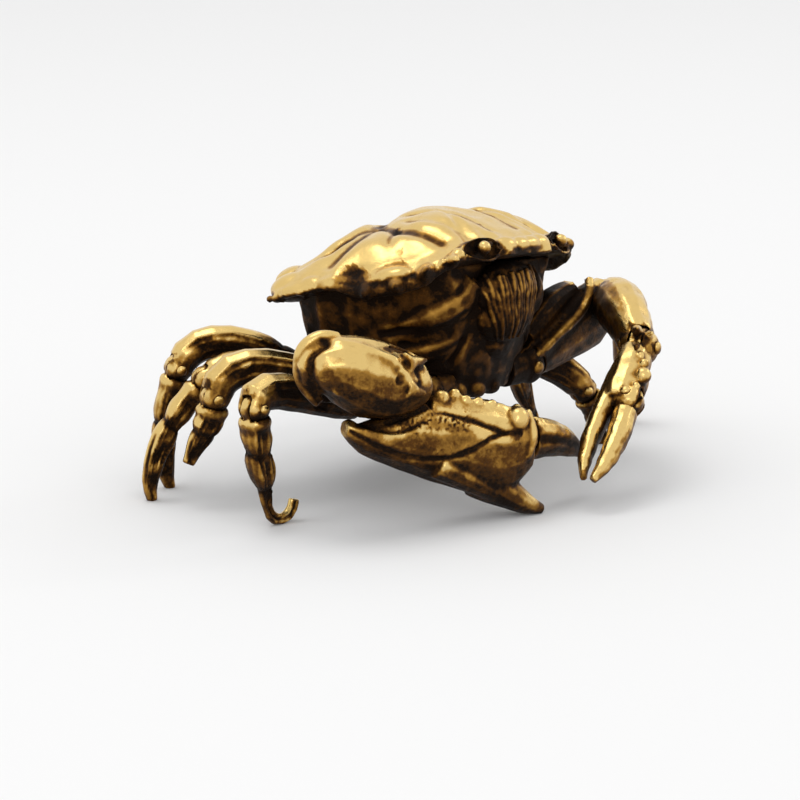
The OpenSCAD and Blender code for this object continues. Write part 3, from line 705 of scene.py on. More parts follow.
@dataclass
class Shell:
    """Carapace with its lobes, beaded margin, teeth, eye sockets and pearl eyes.

    Its tables are in the shell's own frame: x towards the crab's left, y towards the tail, z up from the rim.

    Args:
        seat: Middle of the rim, in the part's frame.
        nose_up: Degrees by which the front is raised.
        lean: Degrees by which the shell leans to one side.
        half_width: Half the rim's width.
        half_length: Half the rim's length.
        eye: Middle of the right eye.
        pearl: Radius of an eye.
    """

    seat: Point = (-1.35, 2.55, 23.4)
    nose_up: float = 17.0
    lean: float = 5.0
    half_width: float = 19.3
    half_length: float = 14.2
    eye: Point = (-7.4, -13.35, 1.25)
    pearl: float = 0.78
    turn: Matrix = field(init=False)

    def __post_init__(self) -> None:
        """Works out the shell's tilt."""
        roll = Matrix.Rotation(math.radians(self.lean), 3, "Y")
        self.turn = roll @ Matrix.Rotation(-math.radians(self.nose_up), 3, "X")

    def world(self, p: Point) -> Point:
        """Place in the part's frame of a point of the shell's frame."""
        return tuple(self.turn @ Vector(p) + Vector(self.seat))

    def local(self, co: np.ndarray) -> np.ndarray:
        """Points of the part's frame in the shell's frame."""
        return (co - np.array(self.seat)) @ np.array(self.turn)

    def both(self, path: Path) -> list[Path]:
        """A path of the shell's frame on both sides, in the part's frame."""
        return [[self.world(p) for p in side] for side in (path, mirrored(path))]

    def build(self) -> None:
        """Builds the carapace and both eyes."""
        cast = Casting("carapace_cast", ["carapace"], Finish.POLISHED, voxel=0.2)
        cast.node("carapace")
        for side in (1, -1):
            self._margin(cast, side)
            self._socket(cast, side)
        cast.fuse(3)
        self._shape(cast)
        self._carve(cast)
        cast.roughen(0.10, 2.6, 3.0)
        local = self.local(cast.co)
        rise = cast.no @ (np.array(self.turn) @ np.array([0.0, 0.0, 1.0]))
        # Painted shade: faces turned downward, and the shell from just above its rim downward, get darker.
        cast.stain = np.maximum(cast.stain, ramp(-rise, 0.1, 0.6))
        cast.stain = np.maximum(cast.stain, 0.35 * ramp(-local[:, 2], -0.9, 0.8))
        # Painted light: upturned faces are lightened where little else has darkened them.
        cast.stain = cast.stain - 0.38 * ramp(rise, -0.1, 0.35) * (1.0 - ramp(cast.stain, 0.15, 0.4))
        cast.finish_piece("body")
        for name, side in (("right_eye", 1), ("left_eye", -1)):
            self._pearl(name, side)

    def _margin(self, cast: Casting, side: int) -> None:
        """Adds the rolled margin, its teeth and its beads on one side.

        Args:
            cast: Casting that they are added to.
            side: 1 for the crab's right side and -1 for its left.
        """
        rim: Path = [(-9.6, -12.1, 0.5), (-12.2, -10.6, 0.1), (-14.2, -8.2, -0.35), (-16.2, -4.9, -0.6),
                     (-17.4, -1.6, -0.2), (-18.3, 1.6, 0.25), (-18.8, 4.6, 0.35), (-18.7, 7.4, 0.35),
                     (-17.2, 9.6, 0.35), (-14.4, 11.6, 0.4), (-9.6, 13.0, 0.4), (-4.6, 13.6, 0.4),
                     (0, 13.7, 0.4)]
        flip = [(side * x, y, z) for x, y, z in rim]
        radii = [0.5, 0.62, 0.78, 0.8, 0.62, 0.5, 0.5, 0.55, 0.55, 0.5, 0.5, 0.5, 0.5]
        cast.rod([self.world(p) for p in flip], radii)
        teeth = [((-13.4, -9.2, 0.1), (-15.4, -10.9, -0.1), 1.25),
                 ((-15.3, -6.4, -0.2), (-17.3, -7.6, -0.5), 1.25),
                 ((-16.6, -3.2, -0.2), (-18.5, -4.1, -0.7), 1.15),
                 ((-11.0, -11.2, 0.4), (-12.4, -13.1, 0.3), 0.95),
                 ((-18.1, 4.6, 0.3), (-19.4, 4.3, 0.1), 0.8), ((-18.0, 7.8, 0.3), (-19.2, 8.3, 0.0), 0.85)]
        for base, tip, radius in teeth:
            length = 1.0 if side > 0 else 0.35
            tip = tuple(b + (t - b) * length for b, t in zip(base, tip))
            foot = self.world((side * base[0], base[1], base[2]))
            cast.thorn(foot, self.world((side * tip[0], tip[1], tip[2])), radius, 0.3)
        beads = [(-19.0, 6.6, 0.3, 0.4), (-18.9, 9.0, 0.2, 0.42), (-17.9, -1.0, 0.1, 0.36),
                 (-15.8, -6.6, 0.0, 0.34), (-12.3, -11.0, 0.5, 0.36), (-15.9, 11.2, 0.4, 0.3)]
        for x, y, z, r in beads:
            cast.ball(self.world((side * x, y, z)), r)
        for place, radii in (((-16.0, 7.4, 1.1), (2.7, 3.0, 1.7)), ((-12.6, 9.4, 1.9), (3.2, 2.6, 1.9)),
                             ((-17.0, 3.8, 0.7), (1.9, 2.4, 1.2)), ((-14.4, -5.4, 0.8), (2.2, 2.6, 1.2))):
            x, y, z = place
            cast.ball(self.world((side * x, y, z)), radii, tuple(self.turn @ Vector((0, 0, 1))))

    def _socket(self, cast: Casting, side: int) -> None:
        """Adds the brow over an eye, the lip under it, and the lobes of the forehead.

        Args:
            cast: Casting that they are added to.
            side: 1 for the crab's right side and -1 for its left.
        """
        brow: Path = [(-9.9, -12.0, 1.2), (-9.2, -12.3, 2.0), (-7.6, -12.8, 2.4), (-6.0, -13.2, 2.2),
                      (-5.0, -13.7, 1.5)]
        lip: Path = [(-9.9, -12.2, 1.0), (-9.0, -13.2, 0.1), (-7.4, -13.8, -0.25), (-5.9, -14.0, 0.1),
                     (-5.0, -13.9, 1.0)]
        for path, r in ((brow, 0.42), (lip, 0.45)):
            cast.rod([self.world((side * x, y, z)) for x, y, z in path], r)
        up = tuple(self.turn @ Vector((0, 0, 1)))
        for place, radii in (((3.2, -13.1, 1.1), (2.1, 1.2, 1.2)), ((0.8, -13.4, 1.1), (2.0, 1.1, 1.1)),
                             ((7.5, -11.7, 1.2), (2.6, 1.2, 1.25))):
            cast.ball(self.world((side * place[0], place[1], place[2])), radii, up)
        cast.ball(self.world((side * 10.4, -12.0, 0.9)), (0.95, 0.95, 0.8), (0, 0, 1))

    def _shape(self, cast: Casting) -> None:
        """Lowers the near margin and swells the lobes of the dome.

        Args:
            cast: Casting that is shaped.
        """
        local = self.local(cast.co)
        x, y, z = np.abs(local[:, 0]), local[:, 1], local[:, 2]
        share = np.hypot(x / self.half_width, y / self.half_length)
        top = ramp(z, 0.8, 2.2)
        lobes = [(4.3, -6.2, 3.4, 0.6), (0.0, -1.5, 2.9, 0.5), (0.0, 4.6, 3.2, 0.5), (9.6, -6.6, 3.2, 0.75),
                 (13.4, -1.6, 3.2, 0.8), (8.2, 2.0, 3.2, 0.75), (12.8, 4.4, 3.2, 0.7), (6.6, 8.4, 3.4, 0.5)]
        swell = sum(h * np.exp(-((x - cx) ** 2 + (y - cy) ** 2) / r ** 2) for cx, cy, r, h in lobes)
        rear = 0.75 * ramp(y, 0.0, 7.0) * ramp(-share, -1.0, -0.72)
        cast.move(top * (swell - rear))
        sag = ramp(y, -12.0, -8.0) * ramp(-y, -0.6, 3.0) * ramp(share, 0.66, 0.92)
        cast.co = cast.co - np.outer(sag * ramp(-local[:, 0], -2.0, 6.0),
                                     np.array(self.turn) @ np.array([0.0, 0.0, 1.0]))
        cast.write()

    def _carve(self, cast: Casting) -> None:
        """Cuts the grooves between the lobes.

        Args:
            cast: Casting that is carved.
        """
        def crown(path: Path) -> Path:
            """Lifts a plan path onto the dome."""
            lifted = []
            for x, y, _ in path:
                share = math.hypot(x / self.half_width, y / self.half_length)
                lifted.append((x, y, 0.9 + 6.0 * max(0.0, 1 - share ** 2.2) + 0.6))
            return lifted

        grooves = [
            ([(-2.0, 2.6, 0), (-5.6, 1.4, 0), (-8.4, -0.6, 0), (-9.9, -3.6, 0), (-10.4, -6.6, 0),
              (-10.0, -9.6, 0)], 1.05, -0.6, 0.42),
            ([(-6.6, 1.2, 0), (-9.2, 0.6, 0), (-11.6, 1.6, 0), (-13.6, 3.4, 0)], 0.9, -0.48, 0.4),
            ([(-10.0, -3.4, 0), (-12.4, -4.2, 0), (-14.4, -5.4, 0)], 0.8, -0.4, 0.3),
            ([(-9.0, -0.4, 0), (-12.0, -0.2, 0), (-14.6, 0.4, 0), (-16.6, 1.6, 0)], 0.9, -0.45, 0.4),
            ([(-13.4, 3.4, 0), (-15.0, 6.0, 0), (-15.6, 8.8, 0)], 0.9, -0.4, 0.3),
            ([(-3.4, 3.2, 0), (-4.6, 6.2, 0), (-3.8, 9.4, 0), (-4.6, 12.0, 0)], 0.9, -0.38, 0.3),
            ([(-3.9, -1.2, 0), (-3.2, -4.6, 0), (-2.6, -7.8, 0), (-2.4, -11.2, 0)], 0.75, -0.32, 0.25),
            ([(-6.9, -3.2, 0), (-7.3, -6.0, 0), (-6.8, -8.8, 0), (-6.2, -11.2, 0)], 0.75, -0.28, 0.2),
        ]
        strokes = []
        for path, width, depth, stain in grooves:
            for side in self.both(crown(path)):
                strokes.append(Stroke(side, width, depth, stain))
        strokes.append(Stroke([self.world(p) for p in crown([(-2.2, 2.7, 0), (0, 3.1, 0), (2.2, 2.7, 0)])],
                              0.9, -0.45, 0.4))
        for socket in self.both([(-7.4, -13.6, 1.3), (-8.4, -13.2, 1.4), (-6.4, -13.9, 1.3)]):
            strokes.append(Stroke(socket, 1.45, -0.85, 1.0))
        for inner in self.both([(-9.4, -10.6, 1.2), (-13.0, -8.0, 1.3), (-16.0, -3.6, 1.2), (-17.4, 1.8, 1.3),
                                (-17.2, 7.0, 1.3)]):
            strokes.append(Stroke(inner, 0.7, -0.16, 0.1))
        cast.carve(strokes)

    def _pearl(self, name: str, side: int) -> None:
        """Builds an eye: a polished pearl on a short stalk.

        Args:
            name: Node of the construction that it stands for.
            side: 1 for the crab's right side and -1 for its left.
        """
        x, y, z = self.eye
        cast = Casting(name + "_pearl", [name], Finish.POLISHED, voxel=0.09)
        cast.ball(self.world((side * x, y, z)), self.pearl)
        cast.rod([self.world((side * x, y + 0.4, z)), self.world((side * x * 0.93, y + 2.3, z))], 0.34)
        cast.fuse(2)
        cast.stain = 0.9 * ramp(self.local(cast.co)[:, 1], y + 0.25, y + 0.7)
        cast.finish_piece("body")


# Body and face


@dataclass
class Trunk:
    """What hangs under the shell: flanks, cheeks, mouth with its fringe, tail flap and hips.

    Args:
        shell: Shell that the trunk hangs under.
        muzzle: Middle and radii of each ball that the mouth is built up from.
    """

    shell: Shell
    muzzle: tuple[tuple[Point, Point], ...] = (
        ((-1.35, -7.4, 23.2), (5.3, 2.5, 3.2)), ((-1.35, -7.0, 20.4), (4.7, 2.9, 3.6)),
        ((-1.35, -5.3, 17.4), (3.7, 3.1, 2.9)), ((-1.35, -3.6, 15.2), (2.6, 2.6, 2.2)))

    def _face(self, x: float, z: float) -> float:
        """Front of the muzzle at one place across and one height."""
        fronts = [0.0]
        for (cx, cy, cz), (rx, ry, rz) in self.muzzle:
            inside = 1.0 - ((x - cx) / rx) ** 2 - ((z - cz) / rz) ** 2
            if inside > 0.0:
                fronts.append(cy - ry * math.sqrt(inside))
        return min(min(fronts), -6.4)

    def build(self) -> None:
        """Builds the trunk's pieces."""
        self._flanks()
        self._mouth()
        self._tail()
        for name in ("right_hips", "left_hips", "shoulders"):
            self._hips(name)

    def _flanks(self) -> None:
        """Underbody with the folds that sweep from the margin to the mouth."""
        cast = Casting("trunk_cast", ["underbody"], Finish.AGED, voxel=0.22).node("underbody")
        middle = self.shell.seat[0]
        folds: list[tuple[Path, list[float]]] = [
            ([(-12.6, -0.2, 20.0), (-11.2, -2.4, 20.6), (-9.6, -4.2, 21.6), (-7.6, -5.8, 23.0),
              (-6.2, -6.6, 24.6)],
             [1.5, 2.2, 2.5, 2.4, 1.9]),
            ([(-12.2, 0.6, 16.9), (-10.6, -1.6, 16.9), (-8.8, -3.4, 17.4), (-7.0, -4.8, 18.6)],
             [1.4, 2.0, 2.2, 1.9]),
            ([(-10.2, -1.4, 13.9), (-8.2, -3.0, 13.9), (-6.0, -4.0, 14.6)], [1.3, 1.7, 1.6])]
        for path, radii in folds:
            cast.rod(path, radii)
            cast.rod([(2 * middle - x, y, z - 0.15 * (middle - x)) for x, y, z in path], radii)
        for x in (-12.2, 9.5):
            cast.ball((x, 7.4, 20.4), (3.2, 4.6, 3.0))
        for x, y, z, r in ((-9.2, -3.2, 12.4, 1.5), (-6.6, -4.3, 12.0, 1.5), (-3.9, -5.0, 11.9, 1.5),
                           (-1.2, -5.2, 11.8, 1.4)):
            cast.ball((x, y, z), (r, r * 0.8, r * 1.15), (0.5, -0.6, -0.5))
        cast.fuse(4)
        grooves = [Stroke([(-14.6, 0.0, 18.9), (-12.6, -2.9, 19.6), (-10.6, -5.3, 20.3), (-8.4, -7.0, 21.6)],
                          0.45, -0.4, 1.0),
                   Stroke([(-11.9, -1.6, 16.8), (-9.8, -4.2, 17.0), (-7.4, -6.2, 17.9)], 0.45, -0.35, 1.0),
                   Stroke([(-6.9, -8.3, 23.6), (-7.0, -7.7, 20.6), (-7.4, -6.6, 17.6), (-8.3, -5.2, 15.4)],
                          0.4, -0.5, 1.0)]
        flipped = [Stroke([(2 * middle - x, y, z) for x, y, z in s.path], s.width, s.depth,
                          s.stain) for s in grooves]
        cast.carve(grooves + flipped)
        cast.roughen(0.12, 1.5, 8.0)
        cast.finish_piece("body")

    def _mouth(self) -> None:
        """Mouth plates under a fringe of raised strands, drawn together at the chin."""
        cast = Casting("mouth_fringe", ["mouthparts"], Finish.AGED, voxel=0.13)
        for place, radii in self.muzzle:
            cast.ball(place, radii)
        for k in range(-8, 9):
            side = k / 8
            wave = 0.2 * math.sin(2.4 * k)
            path = []
            for spread, height in ((4.9, 25.2), (4.7, 23.6), (4.2, 21.8), (3.4, 19.8), (2.5, 17.9)):
                x = self.shell.seat[0] + spread * side + wave * math.cos(height)
                path.append((x, self._face(x, height) - 0.1, height + 1.5 * wave))
            cast.rod(path, [0.24, 0.32, 0.34, 0.3, 0.18])
        cast.fuse(1)
        cast.roughen(0.06, 0.7, 5.0)
        cast.finish_piece("body")

    def _tail(self) -> None:
        """Tail flap folded under the belly, with its joints scored across."""
        cast = Casting("tail_flap", ["abdomen"], Finish.AGED, voxel=0.16).node("abdomen").fuse(2)
        scores = [Stroke([(-7.0, y, 9.0), (4.4, y, 9.0)], 0.3, -0.16,
                         0.9) for y in (-0.3, 2.1, 4.6, 7.1, 9.4)]
        cast.carve(scores)
        cast.finish_piece("body")

    def _hips(self, name: str) -> None:
        """Hip stubs with the collar that each one ends in.

        Args:
            name: Node of the construction that holds the stubs.
        """
        cast = Casting(name + "_cast", [name], Finish.AGED, voxel=0.14).node(name).fuse(1)
        cast.roughen(0.05, 0.9, 2.0)
        # Painted shade: the hip stubs under the shell are darkened all over.
        cast.stain = np.full(len(cast.co), 0.25)
        cast.finish_piece("body")


# Walking legs


@dataclass(frozen=True)
class LegPose:
    """What sets one walking leg's surface apart from the others.

    Args:
        side: Side of the crab, "right" or "left".
        number: Place of the leg, 1 at the front.
        rings: Distances from the knee of the creases round the shin.
        groove: Share of the shin's length where its groove starts.
        collar: Height of the rim at the start of the shin.
    """

    side: str
    number: int
    rings: tuple[float, ...] = (4.6,)
    groove: float = 0.5
    collar: float = 0.2


class Leg:
    """A walking leg: its thigh and its shin."""

    def __init__(self, pose: LegPose) -> None:
        """Reads the leg's joints.

        Args:
            pose: The leg's surface.
        """
        self.pose = pose
        self.name = f"{pose.side}_{{}}_{pose.number}"
        self.hip = pivot(self.name.format("hip"))
        self.knee = pivot(self.name.format("knee"))
        self.axis = hinge_axis(self.name.format("hip"))

    def build(self) -> None:
        """Builds both segments."""
        self._thigh()
        self._shin()

    def _facets(self, cast: Casting, depth: float) -> None:
        """Hollows the two sides of a limb, which leaves a ridge along its back.

        Args:
            cast: Limb that is shaped.
            depth: Depth of the hollows.
        """
        facing = np.abs(cast.no @ self.axis)
        hollow = ramp(facing, 0.72, 0.97)
        reach = np.linalg.norm(cast.co - self.knee, axis=1)
        away = ramp(reach, 2.2, 4.0) * ramp(np.linalg.norm(cast.co - self.hip, axis=1), 2.4, 4.2)
        patch = np.array([noise.noise(Vector(p) / 2.4) for p in cast.co])
        cast.move(-depth * hollow * away * (1.0 + 1.2 * patch), 0.35 * hollow * away * (0.6 + patch))
        cast.write()

    def _rings(self, cast: Casting, centre: np.ndarray, radii: tuple[float, ...], depth: float) -> None:
        """Cuts creases round a limb, with a raised rim before each.

        Args:
            cast: Limb that is carved.
            centre: Joint that the distances are measured from.
            radii: Distance of each crease.
            depth: Depth of a crease.
        """
        offset = cast.co - centre
        reach = np.linalg.norm(offset, axis=1) + 0.35 * (offset @ self.axis) * 0.6
        height = np.zeros(len(reach))
        stain = np.zeros(len(reach))
        for r in radii:
            waist = np.exp(-((reach - r) / 0.85) ** 2)
            cut = np.exp(-((reach - r) / 0.2) ** 2)
            bulge = np.exp(-((reach - r + 1.7) / 1.0) ** 2)
            height += -depth * waist - 0.5 * depth * cut + 0.5 * depth * bulge * ramp(reach, 2.6, 3.6)
            stain = np.maximum(stain, 0.45 * waist * waist)
        cast.move(height, stain)
        cast.write()

    def _thigh(self) -> None:
        """Thigh, with the collar that it ends in over the knee."""
        name = self.name.format("thigh")
        cast = Casting(name + "_cast", [name]).node(name).fuse(2)
        cast.roughen(0.1, 2.2, 3.0 * self.pose.number)
        self._facets(cast, 0.42)
        self._rings(cast, self.hip, (3.6,), 0.22)
        # Painted shade: the thigh darkens towards the hip and on faces turned downward.
        inner = np.linalg.norm(cast.co - self.hip, axis=1)
        cast.stain = np.maximum(cast.stain, 0.9 * ramp(-inner, -8.5, -2.5))
        cast.stain = np.maximum(cast.stain, 0.5 * ramp(-cast.no[:, 2], -0.1, 0.8))
        cast.finish_piece(name)

    def _shin(self) -> None:
        """Shin, with its rim, creases and the groove along its toe."""
        name = self.name.format("shin")
        cast = Casting(name + "_cast", [name], voxel=0.15).node(name).fuse(2)
        cast.roughen(0.1, 1.7, 7.0 * self.pose.number)
        self._facets(cast, 0.4)
        reach = np.linalg.norm(cast.co - self.knee, axis=1)
        rim = np.exp(-((reach - 2.25) / 0.42) ** 2)
        cast.move(self.pose.collar * rim)
        cast.write()
        self._rings(cast, self.knee, self.pose.rings, 0.22)
        reach = np.linalg.norm(cast.co - self.knee, axis=1)
        far = float(reach.max())
        side = (cast.co - self.knee) @ self.axis
        toe = ramp(reach, self.pose.groove * far, (self.pose.groove + 0.15) * far)
        toe = toe * ramp(-reach, -0.96 * far, -0.85 * far)
        line = np.exp(-((side - 0.55 * np.sign(side)) / 0.24) ** 2) * toe
        cast.move(-0.16 * line, 0.7 * line)
        cast.write()
        cast.finish_piece(name)


# Claws


@dataclass
class RightClaw:
    """The large claw, folded across the front: arm, wrist segment, palm and moving finger.

    Args:
        collar: Rolled edge where the wrist segment starts.
        gap: Groove between the collar and the segment's face.
        crease: Long curved crease along the palm.
        fold: Crease that branches off it towards the palm's upper edge.
        top: Ridge along the palm's upper edge.
    """

    collar: Path = field(default_factory=lambda: [
        (-30.4, -7.0, 22.2), (-31.3, -6.0, 22.4), (-32.4, -5.2, 22.1), (-33.2, -4.4, 21.2),
        (-33.6, -4.2, 19.8), (-33.6, -4.4, 18.1), (-33.3, -5.0, 16.5), (-32.5, -6.0, 15.2)])
    gap: Path = field(default_factory=lambda: [
        (-32.7, -6.9, 22.0), (-34.2, -6.2, 21.0), (-35.0, -6.3, 19.4), (-34.2, -6.4, 17.3),
        (-33.2, -6.9, 15.4)])
    crease: Path = field(default_factory=lambda: [
        (-30.44, -8.46, 12.11), (-29.42, -9.71, 11.27), (-27.84, -10.86, 10.17), (-25.83, -12.02, 9.06),
        (-23.67, -13.43, 8.46), (-21.33, -15.06, 8.42), (-18.93, -16.31, 8.98), (-16.95, -17.21, 10.0),
        (-14.96, -17.78, 10.35), (-13.09, -18.46, 10.15)])
    fold: Path = field(default_factory=lambda: [
        (-22.6, -12.94, 13.09), (-21.18, -14.24, 13.24), (-19.72, -15.18, 12.6), (-18.16, -16.06, 11.97),
        (-16.59, -16.94, 11.15), (-14.96, -17.78, 10.35)])
    top: Path = field(default_factory=lambda: [
        (-20.67, -12.66, 14.4), (-18.6, -13.1, 14.2), (-17.34, -14.6, 13.84), (-15.32, -15.8, 13.17),
        (-12.9, -16.9, 12.6), (-10.9, -17.7, 11.8)])

    def build(self) -> None:
        """Builds the claw's pieces."""
        arm = Casting("right_arm_cast", ["right_arm"]).node("right_arm").fuse(3)
        arm.roughen(0.14, 2.4, 1.0)
        # Painted shade: the arm darkens within 16 mm of the elbow.
        away = np.linalg.norm(arm.co - pivot("right_elbow"), axis=1)
        arm.stain = np.maximum(arm.stain, 0.65 * ramp(-away, -16.0, -6.0))
        arm.finish_piece("right_arm")
        self._carpus()
        self._palm()
        self._finger()

    def _carpus(self) -> None:
        """Wrist segment: rolled collar, bright bulging face, and two thorns on its front edge."""
        cast = Casting("right_carpus_cast", ["right_carpus"], voxel=0.17).node("right_carpus")
        cast.rod(self.collar, [0.6, 0.75, 0.85, 0.9, 0.95, 0.95, 0.85, 0.6])
        cast.thorn((-25.6, -12.2, 19.2), (-22.6, -12.9, 19.2), 1.25, 0.18)
        cast.thorn((-26.0, -12.6, 16.6), (-23.9, -13.7, 15.8), 1.15, 0.16)
        cast.ball((-25.3, -11.9, 17.9), (1.5, 1.3, 2.0), (0, 0.2, 1))
        for joint, face in (("right_wrist", 3.7), ("right_elbow", 2.7)):
            centre, axis = pivot(joint), hinge_axis(joint)
            cast.rod([tuple(centre + 1.6 * axis), tuple(centre + face * axis)], 1.0)
        cast.fuse(3)
        cast.carve([Stroke(self.gap, 0.7, -0.8, 1.0),
                    Stroke([(-27.2, -12.2, 19.6), (-26.3, -12.9, 18.4), (-26.1, -13.3, 17.3),
                            (-25.2, -13.4, 16.2)], 0.5, 0.2, 0.0),
                    Stroke([(-24.6, -13.0, 18.4), (-24.5, -13.2, 17.2), (-24.8, -13.1, 16.8)], 0.42, -0.3,
                           0.6),
                    Stroke([(-32.3, -7.3, 21.9), (-30.6, -9.0, 21.9), (-28.9, -10.8, 20.9),
                            (-27.2, -11.9, 19.9)], 0.5, 0.16, 0.0)])
        cast.roughen(0.1, 2.6, 4.0)
        cast.finish_piece("right_carpus")

    def _palm(self) -> None:
        """Palm: beaded upper edge, long curved crease, thick rim at its end, and the fixed finger."""
        cast = Casting("right_palm_cast", ["right_palm"], voxel=0.17).node("right_palm")
        beads = [((-20.0, -12.9, 14.55), 0.8), ((-18.3, -13.4, 14.75), 0.62), ((-17.5, -14.3, 14.1), 0.55),
                 ((-16.3, -15.1, 13.8), 0.5),
                 ((-14.8, -15.9, 13.35), 0.45), ((-12.0, -17.2, 12.5), 0.5)]
        for place, radius in beads:
            cast.ball(place, radius)
        cast.rod([(-21.0, -12.0, 13.6), (-20.2, -12.7, 14.3)], 0.5)
        cast.rod([(-29.0, -7.6, 11.0), (-27.4, -8.7, 11.4), (-25.6, -10.2, 11.7), (-23.6, -11.6, 12.5),
                  (-21.8, -12.6, 13.2)],
                 [1.2, 1.45, 1.5, 1.45, 1.1])
        cast.rod([(-21.6, -13.3, 7.6), (-19.4, -14.0, 6.5), (-17.3, -14.9, 5.2), (-15.6, -15.7, 4.0),
                  (-13.6, -16.5, 2.8)],
                 [1.7, 1.75, 1.6, 1.25, 0.8])
        centre, axis = pivot("right_pincer"), hinge_axis("right_pincer")
        cast.rod([tuple(centre - 1.2 * axis), tuple(centre - 1.75 * axis)], 0.62)
        cast.ball((-12.5, -17.8, 11.5), (1.25, 1.1, 1.3), (0, 0, 1))
        cast.rod([(-11.2, -17.6, 12.0), (-10.9, -18.3, 10.6), (-11.3, -18.8, 9.0), (-12.2, -18.8, 7.2)],
                 [0.7, 0.75, 0.75, 0.5])
        cast.fuse(3)
        cast.carve([Stroke(self.crease, 0.3, -0.24, 0.7),
                    Stroke([(x, y, z + 0.7) for x, y, z in self.crease], 0.75, 0.14, 0.0),
                    Stroke(self.fold, 0.36, -0.26, 0.65), Stroke(self.top, 0.7, 0.18, 0.0),
                    Stroke([(-30.03, -8.8, 12.9), (-28.0, -10.2, 12.5), (-25.7, -11.3, 12.9),
                            (-24.2, -12.4, 13.6), (-22.8, -12.9, 14.2)], 0.5, -0.3, 0.95)])
        band = cast.reach([(-25.6, -11.9, 12.3), (-22.4, -13.7, 12.6), (-19.6, -15.3, 12.2)])
        rough = np.exp(-(band / 1.15) ** 2)
        pit = np.array([noise.noise(Vector(p) / 0.34) for p in cast.co])
        cast.move(-0.16 * rough * np.maximum(pit, 0) + 0.05 * rough,
                  rough * (0.28 + 0.5 * np.maximum(pit, 0)))
        cast.write()
        cast.roughen(0.1, 3.2, 5.0)
        shade = 0.1 * ramp(-cast.co[:, 2], -12.0, -3.0) + 0.3 * ramp(-cast.no[:, 2], 0.3, 0.9)
        cast.stain = np.maximum(cast.stain, shade)
        cast.finish_piece("right_palm")

    def _finger(self) -> None:
        """Moving finger with the groove along its side and the tuft at its root."""
        cast = Casting("right_finger_cast", ["right_finger"], voxel=0.14).node("right_finger")
        for k, (x, y, z) in enumerate([(-8.5, -17.6, 10.4), (-7.9, -17.5, 10.5), (-7.2, -17.5, 10.3),
                                       (-6.4, -17.5, 10.1)]):
            cast.thorn((x, y, z - 0.5), (x - 0.25, y - 0.1, z + 0.35 - 0.06 * k), 0.22, 0.07)
        cast.fuse(2)
        cast.carve([Stroke([(-8.4, -18.7, 8.3), (-5.6, -18.9, 7.8), (-2.2, -18.8, 6.7), (0.0, -18.5, 5.6)],
                           0.5, -0.42, 0.85),
                    Stroke([(-8.6, -18.5, 9.6), (-5.9, -18.6, 9.0), (-2.4, -18.6, 7.6), (0.4, -18.3, 6.0)],
                           0.5, 0.16, 0.0)])
        cast.roughen(0.08, 1.6, 6.0)
        cast.finish_piece("right_finger")


